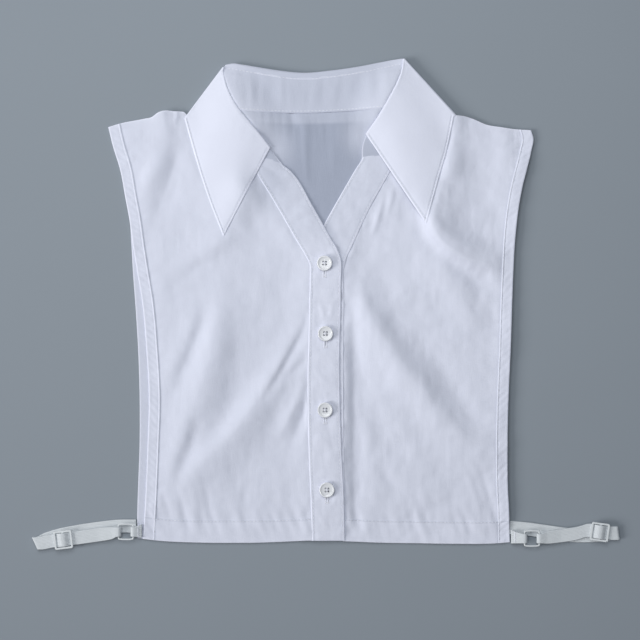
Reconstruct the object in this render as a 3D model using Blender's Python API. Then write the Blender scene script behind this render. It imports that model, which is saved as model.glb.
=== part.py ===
"""False shirt front with a pointed collar, laid flat and face up on a table.

The cut pieces are a back, two fronts, two plackets, a collar stand and a collar leaf. Four
buttons close the plackets. At each lower corner an elastic strap runs from the back to a ring
on the front, through a slider that sets its length.

Tables and sizes are in millimetres and are made metres in one place, mesh_object. X runs across
the garment with 0 on the centre front, Y runs from the hem up to the collar, and Z is up from
the table. Left and right are as seen from above.
"""

import math

import bmesh
import bpy
import numpy as np
from mathutils import Vector

MM = 0.001

FOOTPRINT_MIDDLE = (-0.09, -2.55)  # where the tables put the middle of the footprint

# Driving sizes
CLOTH = 1.0  # wall of every piece of cloth
GAP = 0.3  # clearance between layers and at seams
STACK = CLOTH + GAP
SIDE_HEM = 8.0
BOTTOM_HEM = 16.0
HEM_STEP = 0.35  # how far a turned hem stands up from its panel
BUTTON_ACROSS = 11.5
STRAP = 10.0
WIRE = 1.2  # thickness of the rings

# Heights of the layers above the table
LOFT = 0.7  # air under a front where it has no fold
SEAM_STEP = 0.4  # how far a placket stands up from the front that it is sewn to

# Edges that run down the garment, as (height y, place x)
BACK_LEFT_SIDE = [
    (129.4, -163.1), (115, -159.6), (99, -154.6), (75, -150), (60, -147.2), (41, -145.8),
    (22, -144.7), (-8, -142.5), (-38, -140.7), (-75, -139.6), (-110, -139.7), (-143, -140.9),
    (-162, -141.4), (-178, -141.2),
]
FRONT_LEFT_SIDE = [
    (129.4, -163.1), (115, -159.6), (99, -154.6), (75, -150), (60, -147.2), (41, -144.6),
    (20, -141.2), (0, -137.9), (-37, -134.5), (-71, -132.6), (-112, -133.7), (-150, -135.3),
    (-179, -136.9),
]
FRONT_RIGHT_SIDE = [
    (127, 153.5), (121, 155.3), (112, 153.8), (97, 150), (82, 146.3), (63, 143.2), (45, 141.4),
    (26, 140.3), (7, 139.5), (-37, 138), (-82, 136.2), (-120, 135.7), (-143, 136.1), (-158, 136.9),
    (-181, 137.6),
]
# Outer edges of the plackets, from the neck seam down to the hem, as (height y, place x)
PLACKET_LEFT_EDGE = [
    (112.3, -62), (94.5, -51.8), (78.8, -42), (62, -32.2), (45, -22.5), (33, -15.4), (27, -12.4),
    (20, -12.1), (0, -12.4), (-30, -13.1), (-60, -13.8), (-90, -13.5), (-120, -12.7), (-150, -11.4),
    (-180, -10.5),
]
PLACKET_RIGHT_EDGE = [
    (113.2, 56.3), (96, 48), (82.5, 40.5), (69, 33), (53, 25.5), (40, 19.5), (31, 15.4), (25, 13.9),
    (0, 13.5), (-37, 13.1), (-75, 13.1), (-105, 13.5), (-135, 13.8), (-180, 13.8),
]
# Inner edges: the one on top is free, the one below it is covered from the first button down
PLACKET_LEFT_INNER = [
    (102, -33.8), (98.3, -28.5), (93, -23.2), (87.7, -19.5), (74, -12), (60.7, -4.5), (47.2, 3),
    (36, 9.4), (29, 11.3), (15, 11.3), (-15, 10.9), (-37, 10.2), (-75, 10.5), (-110, 11.6),
    (-150, 13.5), (-180, 14.2),
]
PLACKET_RIGHT_INNER = [
    (105.4, 27), (97.5, 21.8), (88.5, 16.5), (78, 10.5), (67.5, 4.5), (56, -1.8), (42, -8.6),
    (34, -10.9), (26, -11.4), (0, -11.4), (-60, -11.6), (-120, -11), (-180, -10),
]
# Front part of the neck seam, from the side of the neck to the front end, as (height y, place x)
NECK_LEFT = [(147, -85), (128, -76), (112.3, -62), (102.4, -33.8)]
NECK_RIGHT = [(146, 76.5), (128, 70), (113.6, 56.3), (105.8, 27)]
# Outlines that run across, as (place x, height y)
SHOULDER_LEFT = [
    (-163.1, 129.4), (-155, 132), (-136, 135.7), (-130, 137), (-126, 139.8), (-119, 141.6),
    (-113.5, 141), (-110, 138), (-107.5, 134.6), (-104, 133.4), (-99, 135.4), (-92, 140.6), (-85.3, 146.5),
]
SHOULDER_RIGHT = [
    (76.8, 145.5), (83, 141), (90, 135.8), (94.5, 133.8), (98.5, 135), (103, 136.8), (110, 135.4),
    (120, 131.2), (131, 129.3), (142, 127.8), (153.5, 127),
]
NECK_BACK = [(-85, 147), (-63, 141.5), (-42, 140.4), (-19, 139.9), (10, 141), (39, 142.8), (76.5, 146)]
HEM = [
    (-141.2, -178.4), (-124, -180.4), (-102, -181.5), (-72, -181.9), (-50, -181.7), (-27, -180.8),
    (-10, -180), (14, -180.6), (40, -181.7), (70, -182.2), (108, -182.6), (127, -182.3), (137.6, -181.4),
]

# Top of the upper placket above the table, and of the lower one where it shows, as (y, z)
PLACKET_TOP = [(-181, 3.9), (-150, 4.6), (-90, 5.0), (0, 5.0), (40, 5.1), (70, 5.4), (112, 5.6)]
PLACKET_UNDER_TOP = [(-181, 2.5), (-150, 3.2), (-90, 3.6), (0, 3.6), (40, 3.7), (70, 4.5), (113, 5.4)]

# Folds as crest lines through three points. height is the crest's, start and end are the shares
# of it left at the ends, and sunny and shady are the widths of its left and right flanks.
FOLDS_LEFT = [
    dict(path=((-121, 142), (-119, 110), (-135, 70)), height=3.0, start=1.0, end=0.2, sunny=9, shady=7),
    dict(path=((-66, 52), (-90, 34), (-126, 8)), height=1.7, start=0.3, end=0.3, sunny=14, shady=9),
    dict(path=((-82, 2), (-84, -60), (-117, -112)), height=2.5, start=0.2, end=0.4, sunny=12, shady=10),
    dict(path=((-18, -22), (-62, -88), (-106, -148)), height=3.0, start=0.3, end=0.3, sunny=13, shady=9),
]
FOLDS_RIGHT = [
    dict(path=((97, 132), (93, 105), (87, 82)), height=2.6, start=0.7, end=0.4, sunny=7, shady=13),
    dict(path=((86, 80), (83, 46), (128, 25)), height=2.2, start=0.3, end=0.2, sunny=8, shady=10),
    dict(path=((14, 22), (52, -48), (122, -122)), height=3.4, start=0.3, end=0.3, sunny=14, shady=14),
    dict(path=((73, 34), (95, -8), (117, -50)), height=1.2, start=0.3, end=0.3, sunny=13, shady=13),
]
TOWARDS_LIGHT = np.array((-0.9, 0.43))

# Collar. Each station gives the fold's place and height, and the radius of its roll.
FOLD_LEFT = [  # from the side of the neck to the front end: x, y, z, roll
    (-76.6, 173.2, 5.1, 0.8), (-74.8, 162, 5.9, 1.3), (-70.4, 151.5, 6.4, 1.6), (-65.8, 143.8, 6.7, 1.7),
    (-59, 135.3, 6.8, 1.7), (-52.2, 127.3, 6.8, 1.6), (-46.4, 120.2, 6.8, 1.5), (-41.6, 114, 6.7, 1.4),
]
FOLD_RIGHT = [
    (57.8, 179.8, 5.1, 0.8), (56.2, 170.5, 5.9, 1.3), (53, 162.3, 6.4, 1.6), (48.4, 153.4, 6.7, 1.7),
    (42.8, 143.4, 6.8, 1.7), (37.3, 134.6, 6.8, 1.6), (33, 128.6, 6.8, 1.5), (29.6, 124, 6.7, 1.4),
]
FOLD_BACK = [  # from left to right
    (-76.6, 173.2, 1.34, 0.8), (-70.5, 176, 2.0, 1.3), (-57, 174.6, 2.5, 1.6), (-38, 171.7, 2.8, 1.8),
    (-15.8, 169.6, 2.9, 1.9), (3, 171.4, 2.9, 1.9), (25.5, 174.6, 2.6, 1.7), (45, 178.3, 2.1, 1.4),
    (57.8, 179.8, 1.34, 0.8),
]
LEAF_LEFT_CORNER, LEAF_RIGHT_CORNER = (-105.6, 135.2), (95.4, 136.6)
LEAF_LEFT_POINT, LEAF_RIGHT_POINT = (-76.5, 47.3), (74.6, 57.0)
LEAF_BACK_EDGE = [LEAF_LEFT_CORNER, (-80, 133.2), (-40, 132.2), (0, 132.2), (40, 132.4), (72, 133.6), LEAF_RIGHT_CORNER]
LEAF_LEFT_EDGE = [LEAF_LEFT_CORNER, (-99.2, 112), (-88.4, 78), LEAF_LEFT_POINT]
LEAF_RIGHT_EDGE = [LEAF_RIGHT_CORNER, (91.2, 115), (84.6, 92), (79, 72), LEAF_RIGHT_POINT]
LEFT_OUT, RIGHT_OUT = (-0.772, 0.635), (0.735, 0.678)  # outwards, square to the leaf's side folds
LEAF_CROWN = 0.9  # how far the leaf arches between its fold and its edge
LEAF_CLEAR = 0.5  # air between the leaf and the front under it
NECK_SIDE_RISE = 0.3
BACK_LEAF_HEIGHT = CLOTH / 2 + 0.02  # middle of the leaf where it lies on the table
SEAM_GAP = 0.6  # the stand starts this far from the end of the leaf's roll

BUTTONS = [(-1.1, 27.4), (-0.4, -25.1), (-0.7, -82.1), (0.7, -141.7)]

# Straps as (x, y, z of the middle of the band, angle of its width in degrees from +Y)
UNDER, MIDDLE, OVER = 0.5, 1.8, 3.1  # the three layers of strap that lie on each other
BAR_TURN = 1.8  # radius of a strap's middle where it turns round a ring's wire
RING_HEIGHT = MIDDLE + BAR_TURN
RING_INNER = 10.2
AT_RING = 7.0  # width of the elastic where the ring gathers it
SLIDER_THICK = 1.1
SLIDER_HEIGHT = OVER + 1.4
SLIDER_OVER = SLIDER_HEIGHT + 1.45
SLIDER_SIZE = (13.6, 13.6)
SLIDER_BAR = 1.3


def smooth(table, at):
    """Value of a smooth curve through the table's (place, value) rows."""
    place, value = np.array(sorted(table), float).T
    slope = np.gradient(value, place)
    at = np.clip(at, place[0], place[-1])
    i = np.clip(np.searchsorted(place, at) - 1, 0, len(place) - 2)
    step = place[i + 1] - place[i]
    s = (at - place[i]) / step
    return (
        (1 + 2 * s) * (1 - s) ** 2 * value[i]
        + s * (1 - s) ** 2 * step * slope[i]
        + s * s * (3 - 2 * s) * value[i + 1]
        + s * s * (s - 1) * step * slope[i + 1]
    )


def ease(t):
    t = np.clip(t, 0, 1)
    return t * t * (3 - 2 * t)


def along(points, count):
    """count points evenly spaced along a smooth curve through points of any dimension."""
    points = np.array(points, float)
    walked = np.concatenate([[0], np.cumsum(np.linalg.norm(np.diff(points[:, :2], axis=0), axis=1))])
    at = np.linspace(0, walked[-1], count)
    return np.stack([smooth(list(zip(walked, column)), at) for column in points.T], axis=1)


def fold_height(x, y, folds):
    """Sum of the folds' heights at each place."""
    place = np.stack([x, y], axis=-1)
    total = np.zeros(np.shape(x))
    for fold in folds:
        first, middle, last = (np.array(p, float) for p in fold["path"])
        middle = 2 * middle - (first + last) / 2
        t = np.linspace(0, 1, 13)[:, None]
        line = (1 - t) ** 2 * first + 2 * t * (1 - t) * middle + t * t * last
        best = np.full(np.shape(x), 1e9)
        share = np.zeros(np.shape(x))
        lit = np.zeros(np.shape(x))
        for k in range(len(line) - 1):
            step = line[k + 1] - line[k]
            s = np.clip(((place - line[k]) @ step) / (step @ step), 0, 1)
            off = place - line[k] - s[..., None] * step
            far = np.linalg.norm(off, axis=-1)
            nearer = far < best
            best = np.where(nearer, far, best)
            share = np.where(nearer, (k + s) / (len(line) - 1), share)
            lit = np.where(nearer, np.clip(1.5 * (off @ TOWARDS_LIGHT) / (far + 1e-6), -1, 1), lit)
        spread = fold["shady"] + (fold["sunny"] - fold["shady"]) * (lit + 1) / 2
        ends = np.where(share < 0.5, fold["start"], fold["end"])
        taper = ends + (1 - ends) * np.sin(np.pi * share)
        total += fold["height"] * taper * np.exp(-((best / spread) ** 2))
    return total


def back_lift(x, y):
    """Underside of the back: on the table, but raised where the collar leaf lies under it."""
    return STACK * ease((y - 123) / 8) * ease((x + 118) / 9) * ease((107 - x) / 9)


def front_top(x, y, left):
    """Top of a front panel above the table."""
    folds = FOLDS_LEFT if left else FOLDS_RIGHT
    side = smooth(FRONT_LEFT_SIDE if left else FRONT_RIGHT_SIDE, y)
    seam = smooth(PLACKET_LEFT_EDGE if left else PLACKET_RIGHT_EDGE, y)
    lying = 0.25 + 0.75 * ease(np.abs(x - side) / 22) * ease((y + 184) / 40)
    rest = LOFT * lying + fold_height(x, y, folds) * lying
    lowest = back_lift(x, y) + 2 * CLOTH + GAP
    free = lowest + rest
    seam_top = smooth(PLACKET_TOP if left else PLACKET_UNDER_TOP, y) - SEAM_STEP
    reach = 13 if left else 5
    pull = np.exp(-((np.abs(x - seam) / reach) ** 2))
    neck = ease((y - 100) / 30)
    pull = pull * (1 - neck)
    return np.maximum(free + (np.maximum(seam_top, lowest) - free) * pull, lowest)


def cover_top(x, y, left):
    """Top of what the collar leaf lies on: a front, or its placket inside the seam."""
    seam = smooth(PLACKET_LEFT_EDGE if left else PLACKET_RIGHT_EDGE, y)
    placket = smooth(PLACKET_TOP if left else PLACKET_UNDER_TOP, y)
    inside = x > seam if left else x < seam
    return np.where(inside, placket, front_top(x, y, left))


def mesh_object(name, bm, material):
    """Object with the bmesh's shape, scaled from millimetres to metres."""
    bmesh.ops.scale(bm, vec=(MM, MM, MM), verts=bm.verts)
    bmesh.ops.recalc_face_normals(bm, faces=bm.faces)
    mesh = bpy.data.meshes.new(name)
    bm.to_mesh(mesh)
    bm.free()
    mesh.materials.append(material)
    mesh.shade_smooth()
    mesh.set_sharp_from_angle(angle=math.radians(40))
    made = bpy.data.objects.new(name, mesh)
    bpy.context.scene.collection.objects.link(made)
    made.parent = garment
    return made


def grid(places):
    """Bmesh grid whose corners are moved to places[row][column]."""
    places = np.array(places, float)
    rows, columns = places.shape[:2]
    bm = bmesh.new()
    bmesh.ops.create_grid(bm, x_segments=columns - 1, y_segments=rows - 1, size=0.5)
    bm.verts.ensure_lookup_table()
    for vert in bm.verts:
        column = round((vert.co.x + 0.5) * (columns - 1))
        row = round((vert.co.y + 0.5) * (rows - 1))
        vert.co = Vector(places[row, column])
    return bm


def slab(name, places, material):
    """Solid with places as its top and an underside one wall lower."""
    bm = grid(places)
    made = bmesh.ops.extrude_face_region(bm, geom=bm.faces[:])
    for item in made["geom"]:
        if isinstance(item, bmesh.types.BMVert):
            item.co.z -= CLOTH
    return mesh_object(name, bm, material)


def wall(name, places, material, thickness=CLOTH):
    """Solid wall with places as its middle surface."""
    made = mesh_object(name, grid(places), material)
    solidify = made.modifiers.new("wall", "SOLIDIFY")
    solidify.thickness = thickness * MM
    solidify.offset = 0
    solidify.use_even_offset = True
    return made


def spaced(first, last, count):
    return list(np.linspace(first, last, count))


def panel(name, left_edge, right_edge, tops, bottoms, columns, rows, height, hems, material):
    """Panel between two edges that run down it. hems are its side hems' widths, left and right."""
    places = []
    for v in rows:
        y_left, y_right = (tops[k] + (bottoms[k] - tops[k]) * v for k in (0, 1))
        x_left, x_right = float(left_edge(y_left)), float(right_edge(y_right))
        width = x_right - x_left
        inner = spaced(hems[0] + 0.4 if hems[0] else 0, width - (hems[1] + 0.4 if hems[1] else 0), columns)
        offsets = [0, hems[0] - 0.4] * bool(hems[0]) + inner + [width - hems[1] + 0.4, width] * bool(hems[1])
        across = np.array(offsets) / width
        places.append(
            np.stack([x_left + across * width, y_left + (y_right - y_left) * across, across * 0], axis=1)
        )
    places = np.array(places)
    return slab(name, height(places), material)


def hem_step(places, hem_left, hem_right, bottom):
    """Raises the turned hems at the sides and along the bottom."""
    x, y = places[..., 0], places[..., 1]
    raised = np.zeros(x.shape, bool)
    if hem_left:
        raised |= x - x[:, :1] < hem_left
    if hem_right:
        raised |= x[:, -1:] - x < hem_right
    raised |= y - y[-1:, :] < bottom
    places[..., 2] += HEM_STEP * raised
    return places


def hem_rows(length, count):
    """Shares of the length for the rows, close together on both sides of the bottom hem's fold."""
    fold = 1 - BOTTOM_HEM / length
    return spaced(0, fold - 0.4 / length, count) + [fold + 0.4 / length, 1]


def bend_outline(places, row, outline, reach):
    """Moves the top or bottom row onto an outline given across x, and its neighbours with it."""
    x, y = places[..., 0], places[..., 1]
    wanted = smooth(outline, x[row]) - y[row]
    share = ease(1 - np.abs(y - y[row]) / reach)
    places[..., 1] = y + wanted * share
    return places


def make_back(material):
    def height(places):
        bend_outline(places, -1, HEM, 30)
        x = places[0, :, 0]
        top = np.where(
            x < -85.3,
            smooth(SHOULDER_LEFT, x),
            np.where(x > 76.8, smooth(SHOULDER_RIGHT, x), smooth(NECK_BACK, x) - 0.5),
        )
        share = ease(1 - np.abs(places[..., 1] - places[:1, :, 1]) / 40)
        places[..., 1] += (top - places[0, :, 1]) * share
        places[..., 2] = back_lift(places[..., 0], places[..., 1]) + CLOTH
        return places

    panel(
        "back_panel",
        lambda y: smooth(BACK_LEFT_SIDE, y),
        lambda y: smooth(FRONT_RIGHT_SIDE, y) - 0.8,
        (129.4, 127), (-178.4, -181),
        26, spaced(0, 0.16, 9) + spaced(0.24, 1, 9), height, (SIDE_HEM, SIDE_HEM), material,
    )


def make_front(name, left, material):
    """Front panel between its side and its placket's seam."""
    side = FRONT_LEFT_SIDE if left else FRONT_RIGHT_SIDE
    seam = PLACKET_LEFT_EDGE if left else PLACKET_RIGHT_EDGE
    neck = NECK_LEFT if left else NECK_RIGHT
    outwards = -1 if left else 1
    neck_foot = seam[0][0]

    def side_edge(y):
        return smooth(side, y)

    def seam_edge(y):
        """Neck seam above the placket, then the placket's edge."""
        x = smooth(neck[:3], y) if y > neck_foot else smooth(seam, y)
        return x + outwards * 1.3 * GAP

    def height(places):
        bend_outline(places, 0, SHOULDER_LEFT if left else SHOULDER_RIGHT, 40)
        bend_outline(places, -1, HEM, 30)
        places[..., 2] = front_top(places[..., 0], places[..., 1], left)
        return hem_step(places, SIDE_HEM * left, SIDE_HEM * (not left), BOTTOM_HEM)

    tops, bottoms = (side[0][0], neck[0][0] - 0.5), (-179, -180.2)
    hems = (SIDE_HEM, 0)
    edges = (side_edge, seam_edge)
    if not left:
        tops, bottoms, hems = tops[::-1], (-180.8, -181), (0, SIDE_HEM)
        edges = (seam_edge, side_edge)
    panel(name, *edges, tops, bottoms, 18, hem_rows(320, 38), height, hems, material)


def make_placket(name, outer, inner, neck, top, left, material):
    """Band sewn along a front's edge, from the neck seam down to the hem."""
    rows = spaced(0, 0.28, 9) + spaced(0.3, 0.36, 4) + spaced(0.4, 1, 15)
    across = np.array([0, 0.12, 0.5, 0.88, 1])
    places = []
    for v in rows:
        y_outer = outer[0][0] - 0.6 + (-180 - outer[0][0] + 0.6) * v
        y_inner = inner[0][0] + (-180 - inner[0][0]) * v
        x_outer, x_inner = float(smooth(outer, y_outer)), float(smooth(inner, y_inner))
        x = x_outer + (x_inner - x_outer) * across
        y = y_outer + (y_inner - y_outer) * across
        if v == 0:
            y = smooth([(b, a) for a, b in neck], x) - 1.5 * GAP
        z = smooth(top, y) + 0.25 * np.sin(np.pi * across)
        places.append(np.stack([x, y, z], axis=1))
    slab(name, places if left else np.array(places)[:, ::-1], material)


def collar_stations(fronts, turns, backs):
    """Fold, leaf edge, neck seam, roll and spread direction at each station round the collar."""
    stations = []

    def add(fold, edge, neck, roll, spread):
        stations.append((np.array(fold), np.array(edge), np.array(neck), roll, np.array(spread)))

    def front(folds, leaf_edge, neck_curve, left, backwards):
        folds = along(folds, fronts)
        edges = along(leaf_edge, fronts)
        necks = along([(x, y) for y, x in neck_curve], fronts)
        share = np.linspace(0, 1, fronts)
        edge_z = cover_top(edges[:, 0], edges[:, 1], left) + LEAF_CLEAR + CLOTH / 2
        side_z = front_top(necks[:1, 0], necks[:1, 1], left)[0] - CLOTH / 2 + NECK_SIDE_RISE
        end_z = (PLACKET_TOP if left else PLACKET_UNDER_TOP)[-1][1] - CLOTH / 2
        neck_z = side_z + (end_z - side_z) * ease(share * 2)
        order = range(fronts)[::-1] if backwards else range(fronts)
        for k in order:
            add(
                folds[k, :3], (*edges[k], edge_z[k]), (*necks[k], neck_z[k]), folds[k, 3], (0, 0, 1)
            )

    def turn(before, after, out):
        """Half turn round the side of the neck, between the stations before and after it."""
        out = np.array((*out, 0.0))
        up = np.array((0, 0, 1.0))
        for phi in np.linspace(0, np.pi, turns + 1)[1:-1]:
            spread = before[4] * np.cos(phi) + out * np.sin(phi)
            places = []
            for k in range(3):
                middle = (before[k] + after[k]) / 2
                radius = abs(before[k][2] - after[k][2]) / 2
                places.append(middle + radius * (before[4] * np.cos(phi) + out * np.sin(phi)))
            add(*places, before[3], spread)

    front(FOLD_LEFT, LEAF_LEFT_EDGE, NECK_LEFT, True, True)
    left_side = stations[-1]
    folds = along(FOLD_BACK, backs)
    edges = along(LEAF_BACK_EDGE, backs)
    necks = along(NECK_BACK, backs)
    back = [
        (f[:3], np.array((*e, BACK_LEAF_HEIGHT)), np.array((*n, STACK + CLOTH / 2)), f[3], np.array((0, 0, -1.0)))
        for f, e, n in zip(folds, edges, necks)
    ]
    turn(left_side, back[0], LEFT_OUT)
    stations.extend(back)
    right = len(stations)
    front(FOLD_RIGHT, LEAF_RIGHT_EDGE, NECK_RIGHT, False, False)
    fronts_right = stations[right:]
    del stations[right:]
    turn(back[-1], fronts_right[0], RIGHT_OUT)
    stations.extend(fronts_right)
    return stations


def plan_way(a, b, spread):
    """Unit direction from a to b, square to the spread direction."""
    way = b - a
    way = way - spread * (way @ spread)
    return way / np.linalg.norm(way)


def leaf_section(station, rows):
    """Places from the seam under the roll, over the fold and out to the leaf's edge."""
    fold, edge, _, roll, spread = station
    way = plan_way(fold, edge, spread)
    places = []
    for turn in np.radians((-90, -45, 0, 45, 90)):
        places.append(fold + roll * (1 - np.cos(turn)) * way + roll * np.sin(turn) * spread)
    start = places[-1]
    for s in np.linspace(0, 1, rows + 1)[1:]:
        place = start + (edge - start) * s
        if spread[2] > 0.99:
            place[2] += LEAF_CROWN * math.sin(math.pi * s) * ease((roll - 0.8) / 1.2)
            left = place[0] < -20
            neck_edge = smooth(NECK_LEFT if left else NECK_RIGHT, place[1])
            on_front = place[1] < 112 or (place[0] < neck_edge - 1 if left else place[0] > neck_edge + 1)
            if on_front:
                under = float(cover_top(place[0], place[1], left))
                place[2] = max(place[2], under + LEAF_CLEAR + CLOTH / 2)
        elif spread[2] < -0.99:
            place[2] = edge[2] + (start[2] - edge[2]) * (1 - s) ** 3
        places.append(place)
    return places


def stand_section(station, rows):
    """Places from the seam under the roll down to the neck seam."""
    fold, edge, neck, roll, spread = station
    start = fold + (roll + SEAM_GAP) * plan_way(fold, edge, spread) - roll * spread
    return [start + (neck - start) * s for s in np.linspace(0, 1, rows + 1)]


def make_collar(material):
    stations = collar_stations(fronts=8, turns=6, backs=13)
    wall("collar_leaf", [leaf_section(s, 7) for s in stations], material)
    wall("collar_stand", [stand_section(s, 3) for s in stations], material)


def make_button(name, x, y, material):
    """Four-hole button with a raised rim, standing just clear of the placket."""
    radius, thick, rim, hole, spread = BUTTON_ACROSS / 2, 2.2, 1.1, 0.8, 1.45
    base = float(smooth(PLACKET_TOP, y)) + 0.25 + GAP
    profile = [
        (0, 0.0), (radius - 1.2, 0.0), (radius - 0.2, 0.7), (radius, 1.3), (radius - 0.35, thick),
        (radius - rim, thick), (radius - rim - 0.7, thick - 0.6), (0, thick - 0.6),
    ]
    bm = bmesh.new()
    verts = [bm.verts.new((r, 0, z)) for r, z in profile]
    edges = [bm.edges.new(pair) for pair in zip(verts, verts[1:])]
    bmesh.ops.spin(
        bm, geom=verts + edges, cent=(0, 0, 0), axis=(0, 0, 1), angle=2 * math.pi, steps=18, use_merge=True
    )
    bmesh.ops.remove_doubles(bm, verts=bm.verts, dist=0.001)
    made = mesh_object(name, bm, material)
    made.location = (x * MM, y * MM, base * MM)
    cutter = bmesh.new()
    for k in range(4):
        angle = math.pi / 4 + k * math.pi / 2
        around = Vector((spread * math.cos(angle), spread * math.sin(angle), thick / 2))
        pin = bmesh.ops.create_cone(cutter, cap_ends=True, segments=6, radius1=hole, radius2=hole, depth=3 * thick)
        bmesh.ops.translate(cutter, verts=pin["verts"], vec=around)
    holes = mesh_object(name + "_holes", cutter, material)
    holes.location = made.location
    holes.hide_render = True
    holes.display_type = "WIRE"
    cut = made.modifiers.new("holes", "BOOLEAN")
    cut.operation = "DIFFERENCE"
    cut.object = holes


def band(stations):
    """Middle surface of a strap. A station is x, y, z, the angle of its width and its width."""
    stations = np.array(stations, float)
    walked = np.concatenate([[0], np.cumsum(np.linalg.norm(np.diff(stations[:, :3], axis=0), axis=1))])
    length = walked[-1]
    keys = [0.0]
    for mark in walked[1:]:
        pieces = math.ceil((mark - keys[-1]) / 6)
        keys.extend(np.linspace(keys[-1], mark, pieces + 1)[1:])
    keys = np.array(keys)
    x, y, angle, width = (smooth(list(zip(walked, stations[:, k])), keys) for k in (0, 1, 3, 4))
    z = np.interp(keys, walked, stations[:, 2])
    angle = np.radians(angle)
    across = np.stack([-np.sin(angle), np.cos(angle), angle * 0], axis=1) * width[:, None] / 2
    centre = np.stack([x, y, z], axis=1)
    return [[c - a, c, c + a] for c, a in zip(centre, across)]


def half_turn(x, y, z, radius, way, angle, width, steps=5):
    """Stations of a half turn from below to above, bulging along x by way."""
    return [
        (x + way * radius * math.sin(a), y, z - radius * math.cos(a), angle, width)
        for a in np.linspace(0, math.pi, steps + 1)
    ]


def make_strap(side, run, ring, slider, tab, material, wire_material):
    """Elastic strap with its slider, ring and the tab that holds the ring."""
    out = -1 if side == "left" else 1
    ring_x, ring_y = ring
    slider_x, slider_y, tilt = slider
    bar = (RING_INNER + WIRE) / 2
    turn = half_turn(ring_x + out * bar, ring_y, RING_HEIGHT, BAR_TURN, -out, 0, AT_RING)
    cos, sin = math.cos(math.radians(tilt)), math.sin(math.radians(tilt))

    def at_slider(offset, z):
        offset *= out
        return (slider_x + offset * cos, slider_y + offset * sin, z, tilt, STRAP)

    through = [
        at_slider(offset, z)
        for offset, z in ((7.6, OVER), (5.2, OVER), (1.4, SLIDER_OVER), (-1.4, SLIDER_OVER), (-5.2, OVER), (-7.6, OVER))
    ]
    stop = [at_slider(-7.6, MIDDLE), at_slider(-3, MIDDLE)]
    wall(
        "strap_" + side,
        band(run["far"] + run["end"] + through + run["over"] + turn[::-1] + run["under"] + stop),
        material,
    )

    tab_turn = half_turn(ring_x - out * bar, ring_y, RING_HEIGHT, BAR_TURN, out, 0, AT_RING)
    root_x, root_y = tab
    lower = [(root_x, root_y, MIDDLE, 0, STRAP)]
    upper = [(root_x, root_y, OVER, 0, STRAP)]
    wall("tab_" + side, band(lower + tab_turn + upper), material)

    make_ring("ring_" + side, ring_x, ring_y, wire_material)
    make_slider("slider_" + side, slider_x, slider_y, tilt, wire_material)


def make_ring(name, x, y, material):
    """Wire ring, a little squared by the elastic that pulls on both sides."""
    middle, squared, steps = (RING_INNER + WIRE) / 2, 0.5, 24
    angles = np.linspace(0, 2 * np.pi, steps + 1)
    around = np.stack([np.cos(angles), np.sin(angles)], axis=1)
    places = np.sign(around) * np.abs(around) ** squared * middle
    places = places * 0.5 + 0.5 * places / np.maximum(np.abs(places).max(axis=1)[:, None] / middle, 0.84)
    rows = []
    for k, centre in enumerate(places):
        way = places[(k + 1) % steps] - places[(k - 1) % steps]
        way = way / np.linalg.norm(way)
        outwards = np.array((way[1], -way[0])) * WIRE / 2
        rows.append([
            (*(centre + outwards * math.cos(b)), WIRE / 2 * math.sin(b))
            for b in np.linspace(0, 2 * math.pi, 7)
        ])
    bm = grid(rows)
    bmesh.ops.remove_doubles(bm, verts=bm.verts, dist=0.01)
    made = mesh_object(name, bm, material)
    made.location = (x * MM, y * MM, RING_HEIGHT * MM)


def make_slider(name, x, y, tilt, material):
    """Plate with two windows and a bar between them."""
    wide, tall = SLIDER_SIZE
    window = (wide - 3 * SLIDER_BAR) / 2
    bm = bmesh.new()
    bmesh.ops.create_cube(bm, size=1)
    bmesh.ops.scale(bm, vec=(wide, tall, SLIDER_THICK), verts=bm.verts)
    upright = [e for e in bm.edges if abs(e.verts[0].co.z - e.verts[1].co.z) > 0.1]
    bmesh.ops.bevel(bm, geom=upright, offset=2.2, segments=3, profile=0.5, affect="EDGES", material=-1)
    made = mesh_object(name, bm, material)
    cutter = bmesh.new()
    for way in (-1, 1):
        box = bmesh.ops.create_cube(cutter, size=1)
        bmesh.ops.scale(cutter, vec=(window, tall - 2 * SLIDER_BAR, 4 * SLIDER_THICK), verts=box["verts"])
        bmesh.ops.translate(cutter, vec=(way * (window + SLIDER_BAR) / 2, 0, 0), verts=box["verts"])
    windows = mesh_object(name + "_windows", cutter, material)
    windows.hide_render = True
    windows.display_type = "WIRE"
    cut = made.modifiers.new("windows", "BOOLEAN")
    cut.operation = "DIFFERENCE"
    cut.object = windows
    for each in (made, windows):
        each.location = (x * MM, y * MM, SLIDER_HEIGHT * MM)
        each.rotation_euler = (0, 0, math.radians(tilt))


TURN = (OVER - UNDER) / 2
LEFT_RING, RIGHT_RING = (-149.6, -173.3), (154.0, -178.3)
LEFT_SLIDER, RIGHT_SLIDER = (-196.4, -179.2, 7), (204.6, -173.4, -8)
LEFT_TAB, RIGHT_TAB = (-137.8, -173.0), (138.6, -177.2)
LEFT_RUN = {
    "far": [
        (-142.2, -169.5, UNDER, 2, STRAP), (-155, -169.6, UNDER, 4, STRAP), (-170, -171.2, UNDER, 6, STRAP),
        (-185, -173.4, UNDER, 8, STRAP), (-200, -176.4, UNDER, 13, STRAP), (-209, -179.2, UNDER, 19, STRAP),
    ],
    "end": half_turn(-216.4, -182.2, UNDER + TURN, TURN, -1, 25, STRAP),
    "over": [(-181, -177.2, OVER, 6, STRAP), (-170, -175.6, OVER, 6, STRAP), (-160, -174.2, OVER + 1, 4, 9)],
    "under": [(-160, -174.2, MIDDLE, 4, 9), (-170, -175.6, MIDDLE, 6, STRAP), (-181, -177.2, MIDDLE, 6, STRAP)],
}
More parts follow.
